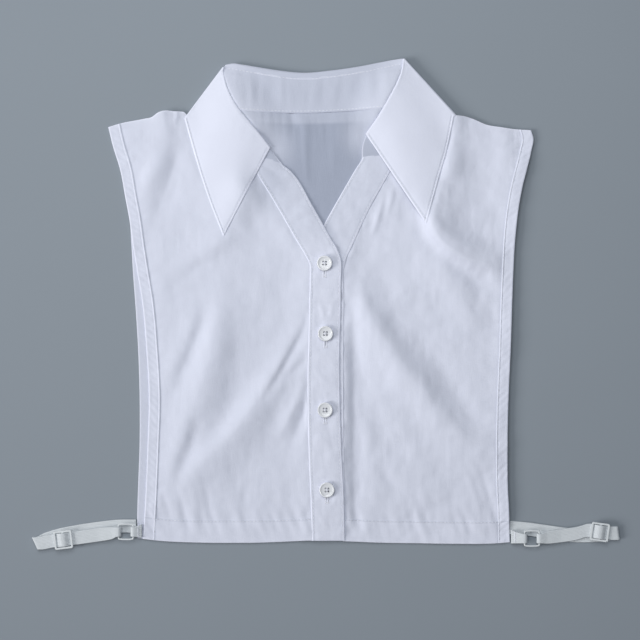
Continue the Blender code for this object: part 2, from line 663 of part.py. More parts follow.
RIGHT_RUN = {
    "far": [
        (137.6, -170.6, UNDER, -3, STRAP), (150, -171.6, UNDER, -6, STRAP), (163, -173.4, UNDER, -8, STRAP),
        (176, -175.2, UNDER, -6, STRAP), (188, -176.6, UNDER, -2, STRAP), (202, -176.4, UNDER, 3, STRAP),
    ],
    "end": half_turn(217.6, -174.6, UNDER + TURN, TURN, 1, 8, STRAP),
    "over": [(188, -174.6, OVER, -8, STRAP), (176, -176.4, OVER, -7, STRAP), (165, -177.7, OVER + 1, -4, 9)],
    "under": [(165, -177.7, MIDDLE, -4, 9), (176, -176.4, MIDDLE, -7, STRAP), (188, -174.6, MIDDLE, -8, STRAP)],
}


def plain_material(name, colour, roughness):
    material = bpy.data.materials.new(name)
    material.use_nodes = True
    shader = material.node_tree.nodes["Principled BSDF"]
    shader.inputs["Base Color"].default_value = (*colour, 1)
    shader.inputs["Roughness"].default_value = roughness
    shader.inputs["Metallic"].default_value = 0
    return material


for thing in list(bpy.data.objects):
    bpy.data.objects.remove(thing)

garment = bpy.data.objects.new("garment", None)
garment.location = (-FOOTPRINT_MIDDLE[0] * MM, -FOOTPRINT_MIDDLE[1] * MM, 0)
bpy.context.scene.collection.objects.link(garment)

cotton = plain_material("white_cotton", (0.80, 0.82, 0.90), 0.9)
elastic = plain_material("white_elastic", (0.74, 0.76, 0.78), 0.85)
plastic = plain_material("white_plastic", (0.80, 0.81, 0.82), 0.3)
pearl = plain_material("button_pearl", (0.82, 0.83, 0.86), 0.2)

make_back(cotton)
make_front("front_left", True, cotton)
make_front("front_right", False, cotton)
make_placket("placket_left", PLACKET_LEFT_EDGE, PLACKET_LEFT_INNER, NECK_LEFT, PLACKET_TOP, True, cotton)
make_placket("placket_right", PLACKET_RIGHT_EDGE, PLACKET_RIGHT_INNER, NECK_RIGHT, PLACKET_UNDER_TOP, False, cotton)
make_collar(cotton)
for number, (button_x, button_y) in enumerate(BUTTONS, start=1):
    make_button(f"button_{number}", button_x, button_y, pearl)
make_strap("left", LEFT_RUN, LEFT_RING, LEFT_SLIDER, LEFT_TAB, elastic, plastic)
make_strap("right", RIGHT_RUN, RIGHT_RING, RIGHT_SLIDER, RIGHT_TAB, elastic, plastic)
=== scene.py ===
"""Looks of a white cotton false shirt front with a pointed collar, laid flat and face up.

Tables and sizes are in millimetres in the pattern's own frame: X runs across the garment with 0
on the centre front, Y runs from the hem up to the collar, and Z is up from the table. Left and
right are as seen from above. metres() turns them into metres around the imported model's origin.
"""

import math

import bmesh
import bpy
import numpy as np
from mathutils import Matrix, Vector, noise
from mathutils.bvhtree import BVHTree


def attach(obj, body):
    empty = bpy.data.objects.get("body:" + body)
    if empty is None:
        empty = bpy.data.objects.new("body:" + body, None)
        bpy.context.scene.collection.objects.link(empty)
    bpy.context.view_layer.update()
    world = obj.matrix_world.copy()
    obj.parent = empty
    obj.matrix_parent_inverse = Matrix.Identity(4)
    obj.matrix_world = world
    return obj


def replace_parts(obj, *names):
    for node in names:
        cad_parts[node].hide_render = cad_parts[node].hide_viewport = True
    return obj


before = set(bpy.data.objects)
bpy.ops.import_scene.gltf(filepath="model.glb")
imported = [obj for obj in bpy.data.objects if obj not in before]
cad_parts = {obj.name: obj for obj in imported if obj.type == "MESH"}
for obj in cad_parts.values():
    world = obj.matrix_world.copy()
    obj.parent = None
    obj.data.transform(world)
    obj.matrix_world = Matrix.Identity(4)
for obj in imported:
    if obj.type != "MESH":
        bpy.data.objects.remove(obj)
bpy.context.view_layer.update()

MM = 0.001
PATTERN_ZERO = (0.09, 2.55, 0)  # the pattern's zero, seen from the middle of the footprint

# Sizes of the pieces, as in the solids
WALL = 1.0
GAP = 0.3
STACK = WALL + GAP
SIDE_HEM = 8.0
BOTTOM_HEM = 16.0
HEM_STEP = 0.3  # how much higher the doubled hem lies
# Distances from an edge where a front's grid has a line, close together at the hem's fold
NEAR_SIDE_HEM = (0, 0.35, 0.8, 1.4, 2.5, 3.7, 4.9, 6.1, 6.7, 7.1, 7.5, 7.9, 8.2, 8.5, 8.9, 9.5, 10.5)
NEAR_BOTTOM_HEM = (
    0, 0.35, 0.8, 1.4, 2.6, 3.9, 5.2, 6.6, 8, 9.4, 10.8, 12.2, 13.6, 14.6, 15.1, 15.5, 15.9, 16.2,
    16.5, 16.9, 17.5, 18.5,
)
FRONT_REST = 1.6  # top of a front above the back's underside, where it lies close
LOFT = 1.4  # how far it stands off that
SEAM_STEP = 0.4  # from the top of a band down to the front beside it
BUTTON_ACROSS = 11.5
STRAP = 10.0
WIRE = 1.2

# Real thickness of the cloth that shows, and of the sewing on it
CLOTH = 0.5
LEAF_WALL = 0.4
STAND_WALL = 0.5
BAND_WALL = 0.55
SEAM_TUCK = 1.0  # how far a panel reaches into the seam that holds it
STITCH_PITCH = 2.7
STITCH_SIZE = (2.15, 0.42, 0.34)  # long, wide, high
EDGE_STITCH = 1.6  # from the edge of a band or of the collar to its row of stitches

# Edges that run down the garment, as (height y, place x)
BACK_LEFT_SIDE = [
    (129.4, -163.1), (115, -159.6), (99, -154.6), (75, -150), (60, -147.2), (41, -145.8),
    (22, -144.7), (-8, -142.5), (-38, -140.7), (-75, -139.6), (-110, -139.7), (-143, -140.9),
    (-162, -141.4), (-178, -141.2),
]
FRONT_LEFT_SIDE = [
    (129.4, -163.1), (115, -159.6), (99, -154.6), (75, -150), (60, -147.2), (41, -144.6),
    (20, -141.2), (0, -137.9), (-37, -134.5), (-71, -132.6), (-112, -133.7), (-150, -135.3),
    (-179, -136.9),
]
FRONT_RIGHT_SIDE = [
    (127, 153.5), (121, 155.3), (112, 153.8), (97, 150), (82, 146.3), (63, 143.2), (45, 141.4),
    (26, 140.3), (7, 139.5), (-37, 138), (-82, 136.2), (-120, 135.7), (-143, 136.1), (-158, 136.9),
    (-181, 137.6),
]
PLACKET_LEFT_EDGE = [
    (112.3, -62), (94.5, -51.8), (78.8, -42), (62, -32.2), (45, -22.5), (33, -15.4), (27, -12.4),
    (20, -12.1), (0, -12.4), (-30, -13.1), (-60, -13.8), (-90, -13.5), (-120, -12.7), (-150, -11.4),
    (-180, -10.5),
]
PLACKET_RIGHT_EDGE = [
    (113.2, 56.3), (96, 48), (82.5, 40.5), (69, 33), (53, 25.5), (40, 19.5), (31, 15.4), (25, 13.9),
    (0, 13.5), (-37, 13.1), (-75, 13.1), (-105, 13.5), (-135, 13.8), (-180, 13.8),
]
PLACKET_LEFT_INNER = [
    (102, -33.8), (98.3, -28.5), (93, -23.2), (87.7, -19.5), (74, -12), (60.7, -4.5), (47.2, 3),
    (36, 9.4), (29, 11.3), (15, 11.3), (-15, 10.9), (-37, 10.2), (-75, 10.5), (-110, 11.6),
    (-150, 13.5), (-180, 14.2),
]
PLACKET_RIGHT_INNER = [
    (105.4, 27), (97.5, 21.8), (88.5, 16.5), (78, 10.5), (67.5, 4.5), (56, -1.8), (42, -8.6),
    (34, -10.9), (26, -11.4), (0, -11.4), (-60, -11.6), (-120, -11), (-180, -10),
]
NECK_LEFT = [(147, -85), (128, -76), (112.3, -62), (102.4, -33.8)]
NECK_RIGHT = [(146, 76.5), (128, 70), (113.6, 56.3), (105.8, 27)]
# Outlines that run across, as (place x, height y)
SHOULDER_LEFT = [
    (-163.1, 129.4), (-155, 132), (-136, 135.7), (-130, 137), (-126, 139.8), (-119, 141.6),
    (-113.5, 141), (-110, 138), (-107.5, 134.6), (-104, 133.4), (-99, 135.4), (-92, 140.6), (-85.3, 146.5),
]
SHOULDER_LEFT_FRONT = SHOULDER_LEFT[:6] + [  # reaches the collar leaf
    (-113.5, 141.1), (-109, 141), (-105.8, 140.3), (-103.8, 138), (-101.5, 136.6), (-97, 137.6),
    (-92, 140.6), (-85.3, 146.5),
]
SHOULDER_RIGHT = [
    (76.8, 145.5), (83, 141), (90, 135.8), (94.5, 133.8), (98.5, 135), (103, 136.8), (110, 135.4),
    (120, 131.2), (131, 129.3), (142, 127.8), (153.5, 127),
]
SHOULDER_RIGHT_FRONT = SHOULDER_RIGHT[:2] + [
    (90, 138.6), (94.5, 138.0), (98.5, 137.8), (103, 137.4), (110, 135.4),
] + SHOULDER_RIGHT[7:]
NECK_BACK = [(-85, 147), (-63, 141.5), (-42, 140.4), (-19, 139.9), (10, 141), (39, 142.8), (76.5, 146)]
HEM = [
    (-141.2, -178.4), (-124, -180.4), (-102, -181.5), (-72, -181.9), (-50, -181.7), (-27, -180.8),
    (-10, -180), (14, -180.6), (40, -181.7), (70, -182.2), (108, -182.6), (127, -182.3), (137.6, -181.4),
]
PLACKET_TOP = [
    (-181, 3.6), (-150, 4.7), (-90, 5.2), (0, 5.2), (35, 5.0), (50, 4.5), (65, 3.9), (85, 3.4), (112, 3.3),
]
PLACKET_UNDER_TOP = [
    (-181, 2.9), (-150, 3.9), (-90, 4.4), (0, 4.4), (35, 4.1), (50, 3.75), (65, 3.5), (85, 3.3), (113, 3.3),
]

# Folds and creases, each a crest through three points. height is the crest's and is negative in
# a trough, ends are the shares of it left at the two ends, and flanks are the widths of the side
# towards the light and of the far side.
FOLDS_LEFT = [
    dict(path=((-124, 141), (-124, 112), (-140, 78)), height=2.3, ends=(1.9, 0.3), flanks=(11, 9)),
    dict(path=((-108, 132), (-115, 90), (-136, 44)), height=-1.7, ends=(1.2, 0.3), flanks=(7, 9)),
    dict(path=((-46, 114), (-60, 86), (-73, 54)), height=5.4, ends=(0.7, 0.3), flanks=(20, 15)),
    dict(path=((-66, 52), (-90, 34), (-126, 8)), height=1.8, ends=(0.3, 0.3), flanks=(14, 9)),
    dict(path=((-77, 12), (-87, -48), (-106, -100)), height=4.4, ends=(0.2, 0.4), flanks=(12, 17)),
    dict(path=((-19, -19), (-58, -86), (-108, -136)), height=4.2, ends=(0.2, 0.4), flanks=(9, 15)),
]
FOLDS_RIGHT = [
    dict(path=((96, 138), (95, 112), (90, 88)), height=4.8, ends=(1.1, 0.3), flanks=(9, 10)),
    dict(path=((77, 77), (86, 45), (123, 26)), height=7.0, ends=(0.5, 0.5), flanks=(5.5, 17)),
    dict(path=((14, 22), (50, -40), (110, -114)), height=5.4, ends=(0.3, 0.3), flanks=(15, 11)),
    dict(path=((70, 38), (96, 10), (112, -24)), height=2.6, ends=(0.3, 0.3), flanks=(12, 10)),
    dict(path=((20, 16), (20, -80), (20.5, -172)), height=-2.2, ends=(0.6, 1.0), flanks=(4, 8)),
    dict(path=((26, -70), (42, -98), (62, -124)), height=-1.3, ends=(0.3, 0.3), flanks=(8, 8)),
]
CREASES_LEFT = [
    dict(path=((-97, -4), (-103, -27), (-118, -58)), height=1.4, ends=(0.2, 0.4), flanks=(8, 6)),
    dict(path=((-102, -84), (-108, -108), (-121, -138)), height=1.3, ends=(0.2, 0.4), flanks=(8, 6)),
    dict(path=((-18, -64), (-26, -83), (-36, -104)), height=1.7, ends=(0.4, 0.2), flanks=(5, 4)),
    dict(path=((-112, 142), (-112, 136), (-114, 130)), height=0.6, ends=(1, 0), flanks=(1.8, 1.5)),
    dict(path=((-128, 141), (-120, 141), (-112, 141)), height=0.6, ends=(0.4, 0.4), flanks=(4, 4)),
    dict(path=((-68, 40), (-92, 27), (-130, 0)), height=-0.8, ends=(0.2, 0.2), flanks=(6, 5)),
    dict(path=((-91, -8), (-98, -32), (-113, -68)), height=-1.3, ends=(0.2, 0.4), flanks=(5, 6)),
    dict(path=((-68, 2), (-70, -62), (-88, -106)), height=-0.7, ends=(0.1, 0.3), flanks=(8, 8)),
    dict(path=((-96, -88), (-102, -110), (-115, -142)), height=-1.4, ends=(0.3, 0.4), flanks=(6, 6)),
    dict(path=((-13, -14), (-28, -44), (-46, -73)), height=-1.6, ends=(0.4, 0.2), flanks=(2.6, 4)),
    dict(path=((-14, -44), (-24, -53), (-36, -62)), height=-0.7, ends=(0.4, 0.1), flanks=(2.5, 4)),
    dict(path=((-12, -72), (-18, -89), (-27, -110)), height=-1.8, ends=(0.5, 0.1), flanks=(3.5, 5)),
    dict(path=((-24, -58), (-31, -78), (-36, -92)), height=0.35, ends=(0.2, 0.2), flanks=(3, 3)),
    dict(path=((-58, 74), (-55, 60), (-50, 46)), height=-0.8, ends=(0.2, 0.2), flanks=(7, 6)),
    dict(path=((-40, 40), (-48, 12), (-50, -20)), height=0.5, ends=(0.1, 0.1), flanks=(8, 8)),
    dict(path=((-124, -138), (-121, -149), (-117, -160)), height=-0.45, ends=(0.2, 0.6), flanks=(2.5, 2.5)),
    dict(path=((-112, -140), (-108, -152), (-105, -166)), height=-0.5, ends=(0.2, 0.6), flanks=(2.5, 3)),
    dict(path=((-92, -134), (-89, -147), (-86, -162)), height=-0.45, ends=(0.2, 0.6), flanks=(2.5, 3)),
    dict(path=((-102, -138), (-98, -150), (-96, -164)), height=0.35, ends=(0.2, 0.5), flanks=(3, 3)),
    dict(path=((-60, -140), (-62, -152), (-61, -164)), height=-0.3, ends=(0.2, 0.6), flanks=(3, 3)),
    dict(path=((-35, -128), (-34, -146), (-36, -163)), height=0.4, ends=(0.2, 0.3), flanks=(4, 4)),
    dict(path=((-130, 108), (-138, 96), (-143, 80)), height=-0.5, ends=(0.2, 0.2), flanks=(3, 4)),
    dict(path=((-104, 118), (-108, 98), (-116, 78)), height=0.5, ends=(0.2, 0.2), flanks=(4, 4)),
]
CREASES_RIGHT = [
    dict(path=((43, 77), (39, 62), (34, 48)), height=1.0, ends=(0.3, 0.1), flanks=(2.5, 2.5)),
    dict(path=((50, 83), (48, 73), (45, 62)), height=0.8, ends=(0.3, 0.1), flanks=(2.5, 2.5)),
    dict(path=((56, 84), (55, 72), (52, 58)), height=0.35, ends=(0.3, 0.1), flanks=(3, 3)),
    dict(path=((83, 84), (80, 60), (106, 39)), height=0.6, ends=(0.2, 0.2), flanks=(4, 5)),
    dict(path=((64, -14), (86, -52), (112, -90)), height=-1.1, ends=(0.2, 0.2), flanks=(7, 8)),
    dict(path=((104, 18), (111, 13), (119, 6)), height=-0.5, ends=(0.1, 0.1), flanks=(4, 4)),
    dict(path=((120, -2), (124, -10), (128, -20)), height=-0.5, ends=(0.2, 0.2), flanks=(3.5, 4)),
    dict(path=((38, -120), (45, -132), (53, -143)), height=-0.5, ends=(0.1, 0.1), flanks=(4, 5)),
    dict(path=((112, -120), (120, -140), (127, -166)), height=-0.5, ends=(0.2, 0.5), flanks=(2.5, 3)),
    dict(path=((102, -124), (110, -142), (116, -163)), height=0.4, ends=(0.2, 0.5), flanks=(3, 3)),
    dict(path=((122, -104), (128, -120), (129, -140)), height=0.4, ends=(0.2, 0.2), flanks=(3, 3)),
    dict(path=((20, -30), (30, -62), (46, -96)), height=-0.5, ends=(0.2, 0.2), flanks=(6, 6)),
    dict(path=((112, 118), (118, 100), (120, 78)), height=-0.6, ends=(0.2, 0.2), flanks=(8, 8)),
    dict(path=((132, 126), (134, 108), (131, 88)), height=0.7, ends=(0.4, 0.1), flanks=(6, 6)),
    dict(path=((68, -128), (74, -146), (76, -163)), height=0.4, ends=(0.1, 0.3), flanks=(4, 4)),
    dict(path=((30, 30), (48, 8), (58, -18)), height=-0.5, ends=(0.1, 0.1), flanks=(7, 7)),
]
CREASES_BACK = [
    dict(path=((-15, 134), (-15.5, 112), (-14, 86)), height=0.7, ends=(0.8, 0.1), flanks=(2, 2.5)),
    dict(path=((-26, 141), (-25, 134), (-22, 126)), height=-0.6, ends=(0.6, 0.1), flanks=(2.5, 2.5)),
    dict(path=((-18, 138), (-18, 132), (-15, 126)), height=0.5, ends=(0.8, 0.3), flanks=(1.5, 1.5)),
    dict(path=((12, 134), (9, 118), (4, 100)), height=0.4, ends=(0.5, 0.1), flanks=(5, 5)),
]
CREASES_PLACKET_LEFT = [
    dict(path=((-46, 100), (-40, 96), (-33, 94)), height=-0.5, ends=(0.3, 0.3), flanks=(2.5, 3)),
    dict(path=((-38, 84), (-31, 88), (-24, 88)), height=-0.4, ends=(0.3, 0.3), flanks=(2.5, 3)),
    dict(path=((-24, 62), (-17, 66), (-10, 66)), height=0.4, ends=(0.3, 0.3), flanks=(3, 3)),
    dict(path=((-6, 0), (-3, -8), (-1, -17)), height=0.35, ends=(0.2, 0.4), flanks=(2, 2)),
    dict(path=((7, 2), (4, -8), (1, -17)), height=0.3, ends=(0.2, 0.4), flanks=(2, 2)),
    dict(path=((-9, -50), (-3, -58), (5, -66)), height=0.35, ends=(0.2, 0.2), flanks=(2.5, 2.5)),
    dict(path=((-8, -100), (0, -108), (7, -118)), height=0.3, ends=(0.2, 0.2), flanks=(3, 3)),
    dict(path=((-8, -158), (-2, -166), (4, -176)), height=0.25, ends=(0.2, 0.2), flanks=(3, 3)),
]
TOWARDS_LIGHT = np.array((-0.97, -0.24))

# Collar. Each station gives the fold's place and height, and the radius of its roll.
FOLD_LEFT = [  # from the side of the neck to the front end: x, y, z, roll
    (-77, 171.4, 4.8, 0.8), (-74.8, 162, 6.0, 1.2), (-70.4, 151.5, 6.8, 1.4), (-65.8, 143.8, 7.1, 1.5),
    (-59, 135.3, 6.8, 1.5), (-52.2, 127.3, 6.1, 1.4), (-46.4, 120.2, 5.0, 1.3), (-41.6, 114, 4.0, 1.2),
]
FOLD_RIGHT = [
    (57.8, 179, 4.8, 0.8), (56.2, 170.5, 6.0, 1.2), (53, 162.3, 7.1, 1.4), (48.4, 153.4, 7.6, 1.5),
    (42.8, 143.4, 7.5, 1.5), (37.3, 134.6, 6.5, 1.4), (33, 128.6, 5.0, 1.3), (29.6, 124, 4.0, 1.2),
]
FOLD_BACK = [  # from left to right
    (-75, 175.6, 3.4, 0.8), (-69.9, 176.7, 3.2, 1.2), (-62.4, 175.8, 3.1, 1.5), (-50, 173.8, 3.0, 1.7),
    (-36, 171.6, 2.9, 1.8), (-15.8, 169.8, 2.8, 1.8), (3, 171.4, 2.8, 1.8), (25.5, 174.6, 2.9, 1.7),
    (42, 177.8, 3.1, 1.5), (52, 179.6, 3.2, 1.2), (57.4, 180.4, 3.4, 0.8),
]
ROLL_HEIGHT = 0.5  # of its width
# Stations along a front half of the collar, as shares of its length, close together at its front end
FRONT_SHARES = np.concatenate([np.linspace(0, 0.955, 66), [0.97, 0.979, 0.986, 0.991, 0.9955, 1]])
LEAF_LEFT_CORNER, LEAF_RIGHT_CORNER = (-105.6, 135.2), (95.4, 136.6)
LEAF_LEFT_POINT, LEAF_RIGHT_POINT = (-76.5, 47.3), (74.6, 57.0)
LEAF_BACK_EDGE = [
    LEAF_LEFT_CORNER, (-80, 133.2), (-40, 132.2), (0, 132.2), (40, 132.4), (72, 133.6), LEAF_RIGHT_CORNER,
]
LEAF_LEFT_EDGE = [LEAF_LEFT_CORNER, (-99.2, 112), (-88.4, 78), LEAF_LEFT_POINT]
LEAF_RIGHT_EDGE = [LEAF_RIGHT_CORNER, (91.2, 115), (84.6, 92), (79, 72), LEAF_RIGHT_POINT]
LEFT_OUT, RIGHT_OUT = (-0.772, 0.635), (0.735, 0.678)
LEAF_CROWN = 0.5  # rise of the leaf between its fold and its edge
LEAF_CLEAR = 0.06  # between the leaf and the front under it
BACK_LEAF_HEIGHT = LEAF_WALL / 2 + 0.02
NECK_SIDE_RISE = 0.3

BUTTONS = [(-1.1, 27.4), (-0.4, -25.1), (-0.7, -82.1), (0.7, -141.7)]

# Straps
UNDER, MIDDLE, OVER = 0.5, 1.8, 3.1  # heights of the three layers of elastic on each other
TURN = (OVER - UNDER) / 2
BAR_TURN = 1.8
RING_HEIGHT = MIDDLE + BAR_TURN
RING_INNER = 10.2
AT_RING = 7.0  # width of the elastic gathered in a ring
NARROWED = 9.0  # its width on the way there
ELASTIC_WALL = 0.9
SLIDER_THICK = 1.1
SLIDER_HEIGHT = OVER + 1.4
SLIDER_OVER = SLIDER_HEIGHT + 1.45
SLIDER_SIZE = (13.6, 13.6)
SLIDER_BAR = 1.3
LEFT_RING, RIGHT_RING = (-149.6, -173.3), (154.0, -178.3)
LEFT_SLIDER, RIGHT_SLIDER = (-196.4, -179.2, 7), (204.6, -173.4, -8)
LEFT_TAB, RIGHT_TAB = (-137.8, -173.0), (138.6, -177.2)

# How far the table shows through each piece, from 0 for none to 1; several of them also hold painted shade,
# as said beside them.
SHEER_BACK = 0.42
SHEER_AND_SHADE_INSIDE = 0.54  # more of it inside the neck, where painted shade under the collar adds to the single layer
# The two fronts have the same layers; the left is set a little darker than the right as painted shade.
SHEER_AND_SHADE_FRONT_LEFT = 0.29
SHEER_AND_SHADE_FRONT_RIGHT = 0.26
SHEER_BAND = 0.2
SHEER_LEAF = 0.13
SHADE_LEAF_INSIDE = 0.25  # painted shade on the inside of the roll at the back of the neck, matching the stand
# The stand's inside at the back: its sheerness and painted shade.
SHEER_AND_SHADE_STAND = 0.54
# painted shade on the stand's front ends, which slope away from the lamp
SHADE_STAND_FRONT = 0.75

# Linear colours
COTTON = (0.845, 0.862, 0.98)  # many layers, as in a turned edge
COTTON_SHEER_SHADED = (0.37, 0.405, 0.505)  # one layer with the table showing through, and painted shade that makes it darker and bluer
ELASTIC = (0.70, 0.735, 0.765)
PLASTIC = (0.74, 0.77, 0.79)
PEARL = (0.80, 0.81, 0.84)
THREAD = (0.84, 0.85, 0.92)
SLIT = (0.36, 0.38, 0.43)  # the shadow inside a buttonhole
TABLE = (0.262, 0.296, 0.334)
ROOM = (0.80, 0.88, 1.0)

# Lamps, in metres and watts: a low window at the left and a soft light overhead
LAMPS = [
    dict(name="window", place=(-4.4, -1.1, 2.4), size=2.2, power=168, colour=(1.0, 0.99, 0.98)),
    dict(name="overhead", place=(-0.15, 0.4, 1.0), size=0.9, power=7.6, colour=(0.95, 0.98, 1.0)),
]
ROOM_STRENGTH = 0.13


# Curves

def smooth(table, at):
    """Value of a smooth curve through the table's (place, value) rows."""
    place, value = np.array(sorted(table), float).T
    slope = np.gradient(value, place)
    at = np.clip(at, place[0], place[-1])
    i = np.clip(np.searchsorted(place, at) - 1, 0, len(place) - 2)
    step = place[i + 1] - place[i]
    s = (at - place[i]) / step
    return (
        (1 + 2 * s) * (1 - s) ** 2 * value[i]
        + s * (1 - s) ** 2 * step * slope[i]
        + s * s * (3 - 2 * s) * value[i + 1]
        + s * s * (s - 1) * step * slope[i + 1]
    )


def ease(t):
    t = np.clip(t, 0, 1)
    return t * t * (3 - 2 * t)


def walked(points):
    """Distance along the points at each of them."""
    return np.concatenate([[0], np.cumsum(np.linalg.norm(np.diff(points, axis=0), axis=1))])


def along(points, shares):
    """Points along a smooth curve through points: at shares of its length, or so many evenly spaced."""
    points = np.array(points, float)
    marks = walked(points[:, :2])
    at = marks[-1] * (np.linspace(0, 1, shares) if np.isscalar(shares) else shares)
    return np.stack([smooth(list(zip(marks, column)), at) for column in points.T], axis=1)


def edge_line(table, first, last, aside=0.0):
    """Line down an edge between two heights, moved aside along x."""
    y = np.linspace(first, last, 60)
    return np.stack([smooth(table, y) + aside, y], axis=1)


def beside(points, distance):
    """Line at a distance to the left of the way through points, with its corners mitred."""
    points = np.array(points, float)
    way = np.diff(points, axis=0)
    way /= np.linalg.norm(way, axis=1)[:, None]
    left = np.stack([-way[:, 1], way[:, 0]], axis=1)
    before, after = np.vstack([left[:1], left]), np.vstack([left, left[-1:]])
    middle = before + after
    middle /= np.linalg.norm(middle, axis=1)[:, None]
    return points + middle * (distance / np.einsum("ij,ij->i", middle, before))[:, None]


def nearest(x, y, line):
    """Distance from each place to the line, how far along it that is, and which side it is on."""
    place = np.stack([x, y], axis=-1)
    marks = walked(line)
    best = np.full(np.shape(x), 1e9)
    run = np.zeros(np.shape(x))
    side = np.zeros(np.shape(x))
    for k in range(len(line) - 1):
        step = line[k + 1] - line[k]
        s = np.clip(((place - line[k]) @ step) / (step @ step), 0, 1)
        off = place - line[k] - s[..., None] * step
        far = np.linalg.norm(off, axis=-1)
        nearer = far < best
        best = np.where(nearer, far, best)
        run = np.where(nearer, marks[k] + s * (marks[k + 1] - marks[k]), run)
        side = np.where(nearer, step[0] * off[..., 1] - step[1] * off[..., 0], side)
    return best, run, side


def rough(x, y, size, seed):
    """Smooth random values from about -1 to 1 that change over size."""
    flat = zip(np.ravel(x) / size, np.ravel(y) / size)
    values = [noise.noise(Vector((a, b, seed)), noise_basis="PERLIN_ORIGINAL") for a, b in flat]
    return np.array(values).reshape(np.shape(x)) * 1.6


# Heights

def fold_height(x, y, folds):
    """Sum of the folds' heights at each place."""
    total = np.zeros(np.shape(x))
    t = np.linspace(0, 1, 13)[:, None]
    for fold in folds:
        first, middle, last = (np.array(p, float) for p in fold["path"])
        middle = 2 * middle - (first + last) / 2
        line = (1 - t) ** 2 * first + 2 * t * (1 - t) * middle + t * t * last
        reach = 3 * max(fold["flanks"]) + 2
        low, high = line.min(axis=0) - reach, line.max(axis=0) + reach
        near = (x > low[0]) & (x < high[0]) & (y > low[1]) & (y < high[1])
        if not near.any():
            continue
        place = np.stack([x[near], y[near]], axis=-1)
        best, share, lit = np.full(len(place), 1e9), np.zeros(len(place)), np.zeros(len(place))
        for k in range(len(line) - 1):
            step = line[k + 1] - line[k]
            s = np.clip(((place - line[k]) @ step) / (step @ step), 0, 1)
            off = place - line[k] - s[..., None] * step
            far = np.linalg.norm(off, axis=-1)
            nearer = far < best
            best = np.where(nearer, far, best)
            share = np.where(nearer, (k + s) / (len(line) - 1), share)
            lit = np.where(nearer, np.clip(1.5 * (off @ TOWARDS_LIGHT) / (far + 1e-6), -1, 1), lit)
        sunny, shady = fold["flanks"]
        spread = shady + (sunny - shady) * (lit + 1) / 2
        ends = np.where(share < 0.5, *fold["ends"])
        taper = ends + (1 - ends) * np.sin(np.pi * share)
        total[near] += fold["height"] * taper * np.exp(-((best / spread) ** 2))
    return total


def back_lift(x, y):
    """Underside of the back: on the table, but raised where the collar leaf lies under it."""
    return 0.65 * ease((y - 123) / 8) * ease((x + 118) / 9) * ease((107 - x) / 9)


def pressed(y):
    """1 over the shoulders, where the layers lie close together, and 0 below them."""
    return ease((y - 95) / 25)


def neck_climb(x, y, floor):
    """Height of the inside of the neck, which climbs from the floor to the folds of the collar."""
    height = floor
    for folds, way in ((FOLD_LEFT, 1), (FOLD_RIGHT, -1)):
        line = along(folds, 40)
        far, run, side = nearest(x, y, line[:, :2])
        top = np.interp(run, walked(line[:, :2]), line[:, 2]) + 0.05
        inner = far * np.sign(side) * way
        climb = np.where(inner > 0, 1 - ease(inner / 28), ease(1 + inner / 2.2))
        climb *= ease((walked(line[:, :2])[-1] - run) / 20)
        height = np.maximum(height, floor + (top - floor) * climb)
    return height


def from_folds(x, y):
    """Distance from the nearer of the collar's two front folds."""
    return np.minimum(*(nearest(x, y, along(folds, 40)[:, :2])[0] for folds in (FOLD_LEFT, FOLD_RIGHT)))


def front_rests(x, y):
    """Lowest that the top of a front can lie, on the back."""
    return back_lift(x, y) + FRONT_REST - 0.5 * pressed(y)


def front_top(x, y, left):
    """Top of a front panel above the table, with its largest folds alone."""
    folds = FOLDS_LEFT if left else FOLDS_RIGHT
    side = smooth(FRONT_LEFT_SIDE if left else FRONT_RIGHT_SIDE, y)
    seam = smooth(PLACKET_LEFT_EDGE if left else PLACKET_RIGHT_EDGE, y)
    lying = 0.25 + 0.75 * ease(np.abs(x - side) / 22) * ease((y + 184) / 40)
    rest = LOFT * lying + fold_height(x, y, folds) * lying
    if not left:
        rest += 2.0 * np.exp(-((np.abs(x - side) / 15) ** 2)) * ease((y + 178) / 30)
    rest *= 1 - 0.5 * pressed(y)
    lowest = front_rests(x, y)
    free = lowest + rest
    seam_top = smooth(PLACKET_TOP if left else PLACKET_UNDER_TOP, y) - SEAM_STEP
    reach = 12 if left else 7
    pull = np.exp(-((np.abs(x - seam) / reach) ** 2)) * (1 - ease((y - 100) / 30))
    return np.maximum(free + (np.maximum(seam_top, lowest) - free) * pull, lowest)


def cover_top(x, y, left):
    """Top of what the collar leaf lies on: a front, or its placket inside the seam."""
    seam = smooth(PLACKET_LEFT_EDGE if left else PLACKET_RIGHT_EDGE, y)
    placket = smooth(PLACKET_TOP if left else PLACKET_UNDER_TOP, y)
    inside = x > seam if left else x < seam
    return np.where(inside, placket, front_top(x, y, left))


def puckers(x, y, line, pitch, height, reach, seed):
    """Small waves that the sewing along a line draws in the cloth on both sides of it."""
    far, run, side = nearest(x, y, line)
    drift = run + 0.35 * far * np.sign(side)
    wave = rough(drift / pitch, far / (2.5 * reach), 1, seed)
    return height * wave * np.exp(-((far / reach) ** 2))


def groove(x, y, line, depth=0.12, width=0.6):
    """Channel that a row of stitches pulls down."""
    far, _, _ = nearest(x, y, line)
    return -depth * np.exp(-((far / width) ** 2))


def shade_by_left_point(x, y):
    """Share of painted shade on the cloth that slopes down in front of the left point of the collar."""
    return np.exp(-(((x + 41) / 15) ** 2 + ((y - 90) / 19) ** 2))


def stitch_row_shade(far):
    """1 on a row of stitches, where painted shade darkens the pressed cloth, and 0 beside it."""
    return np.exp(-((far / 0.45) ** 2))


def turned_edge(from_edge, drop=0.22, round_over=0.55, ridge=0.2):
    """Height of a turned edge: it rounds down, with the ridge of its folded seam just inside."""
    return (
        -drop * (1 - np.clip(from_edge / round_over, 0, 1)) ** 2
        + ridge * np.exp(-(((from_edge - 0.9) / 0.5) ** 2))
    )


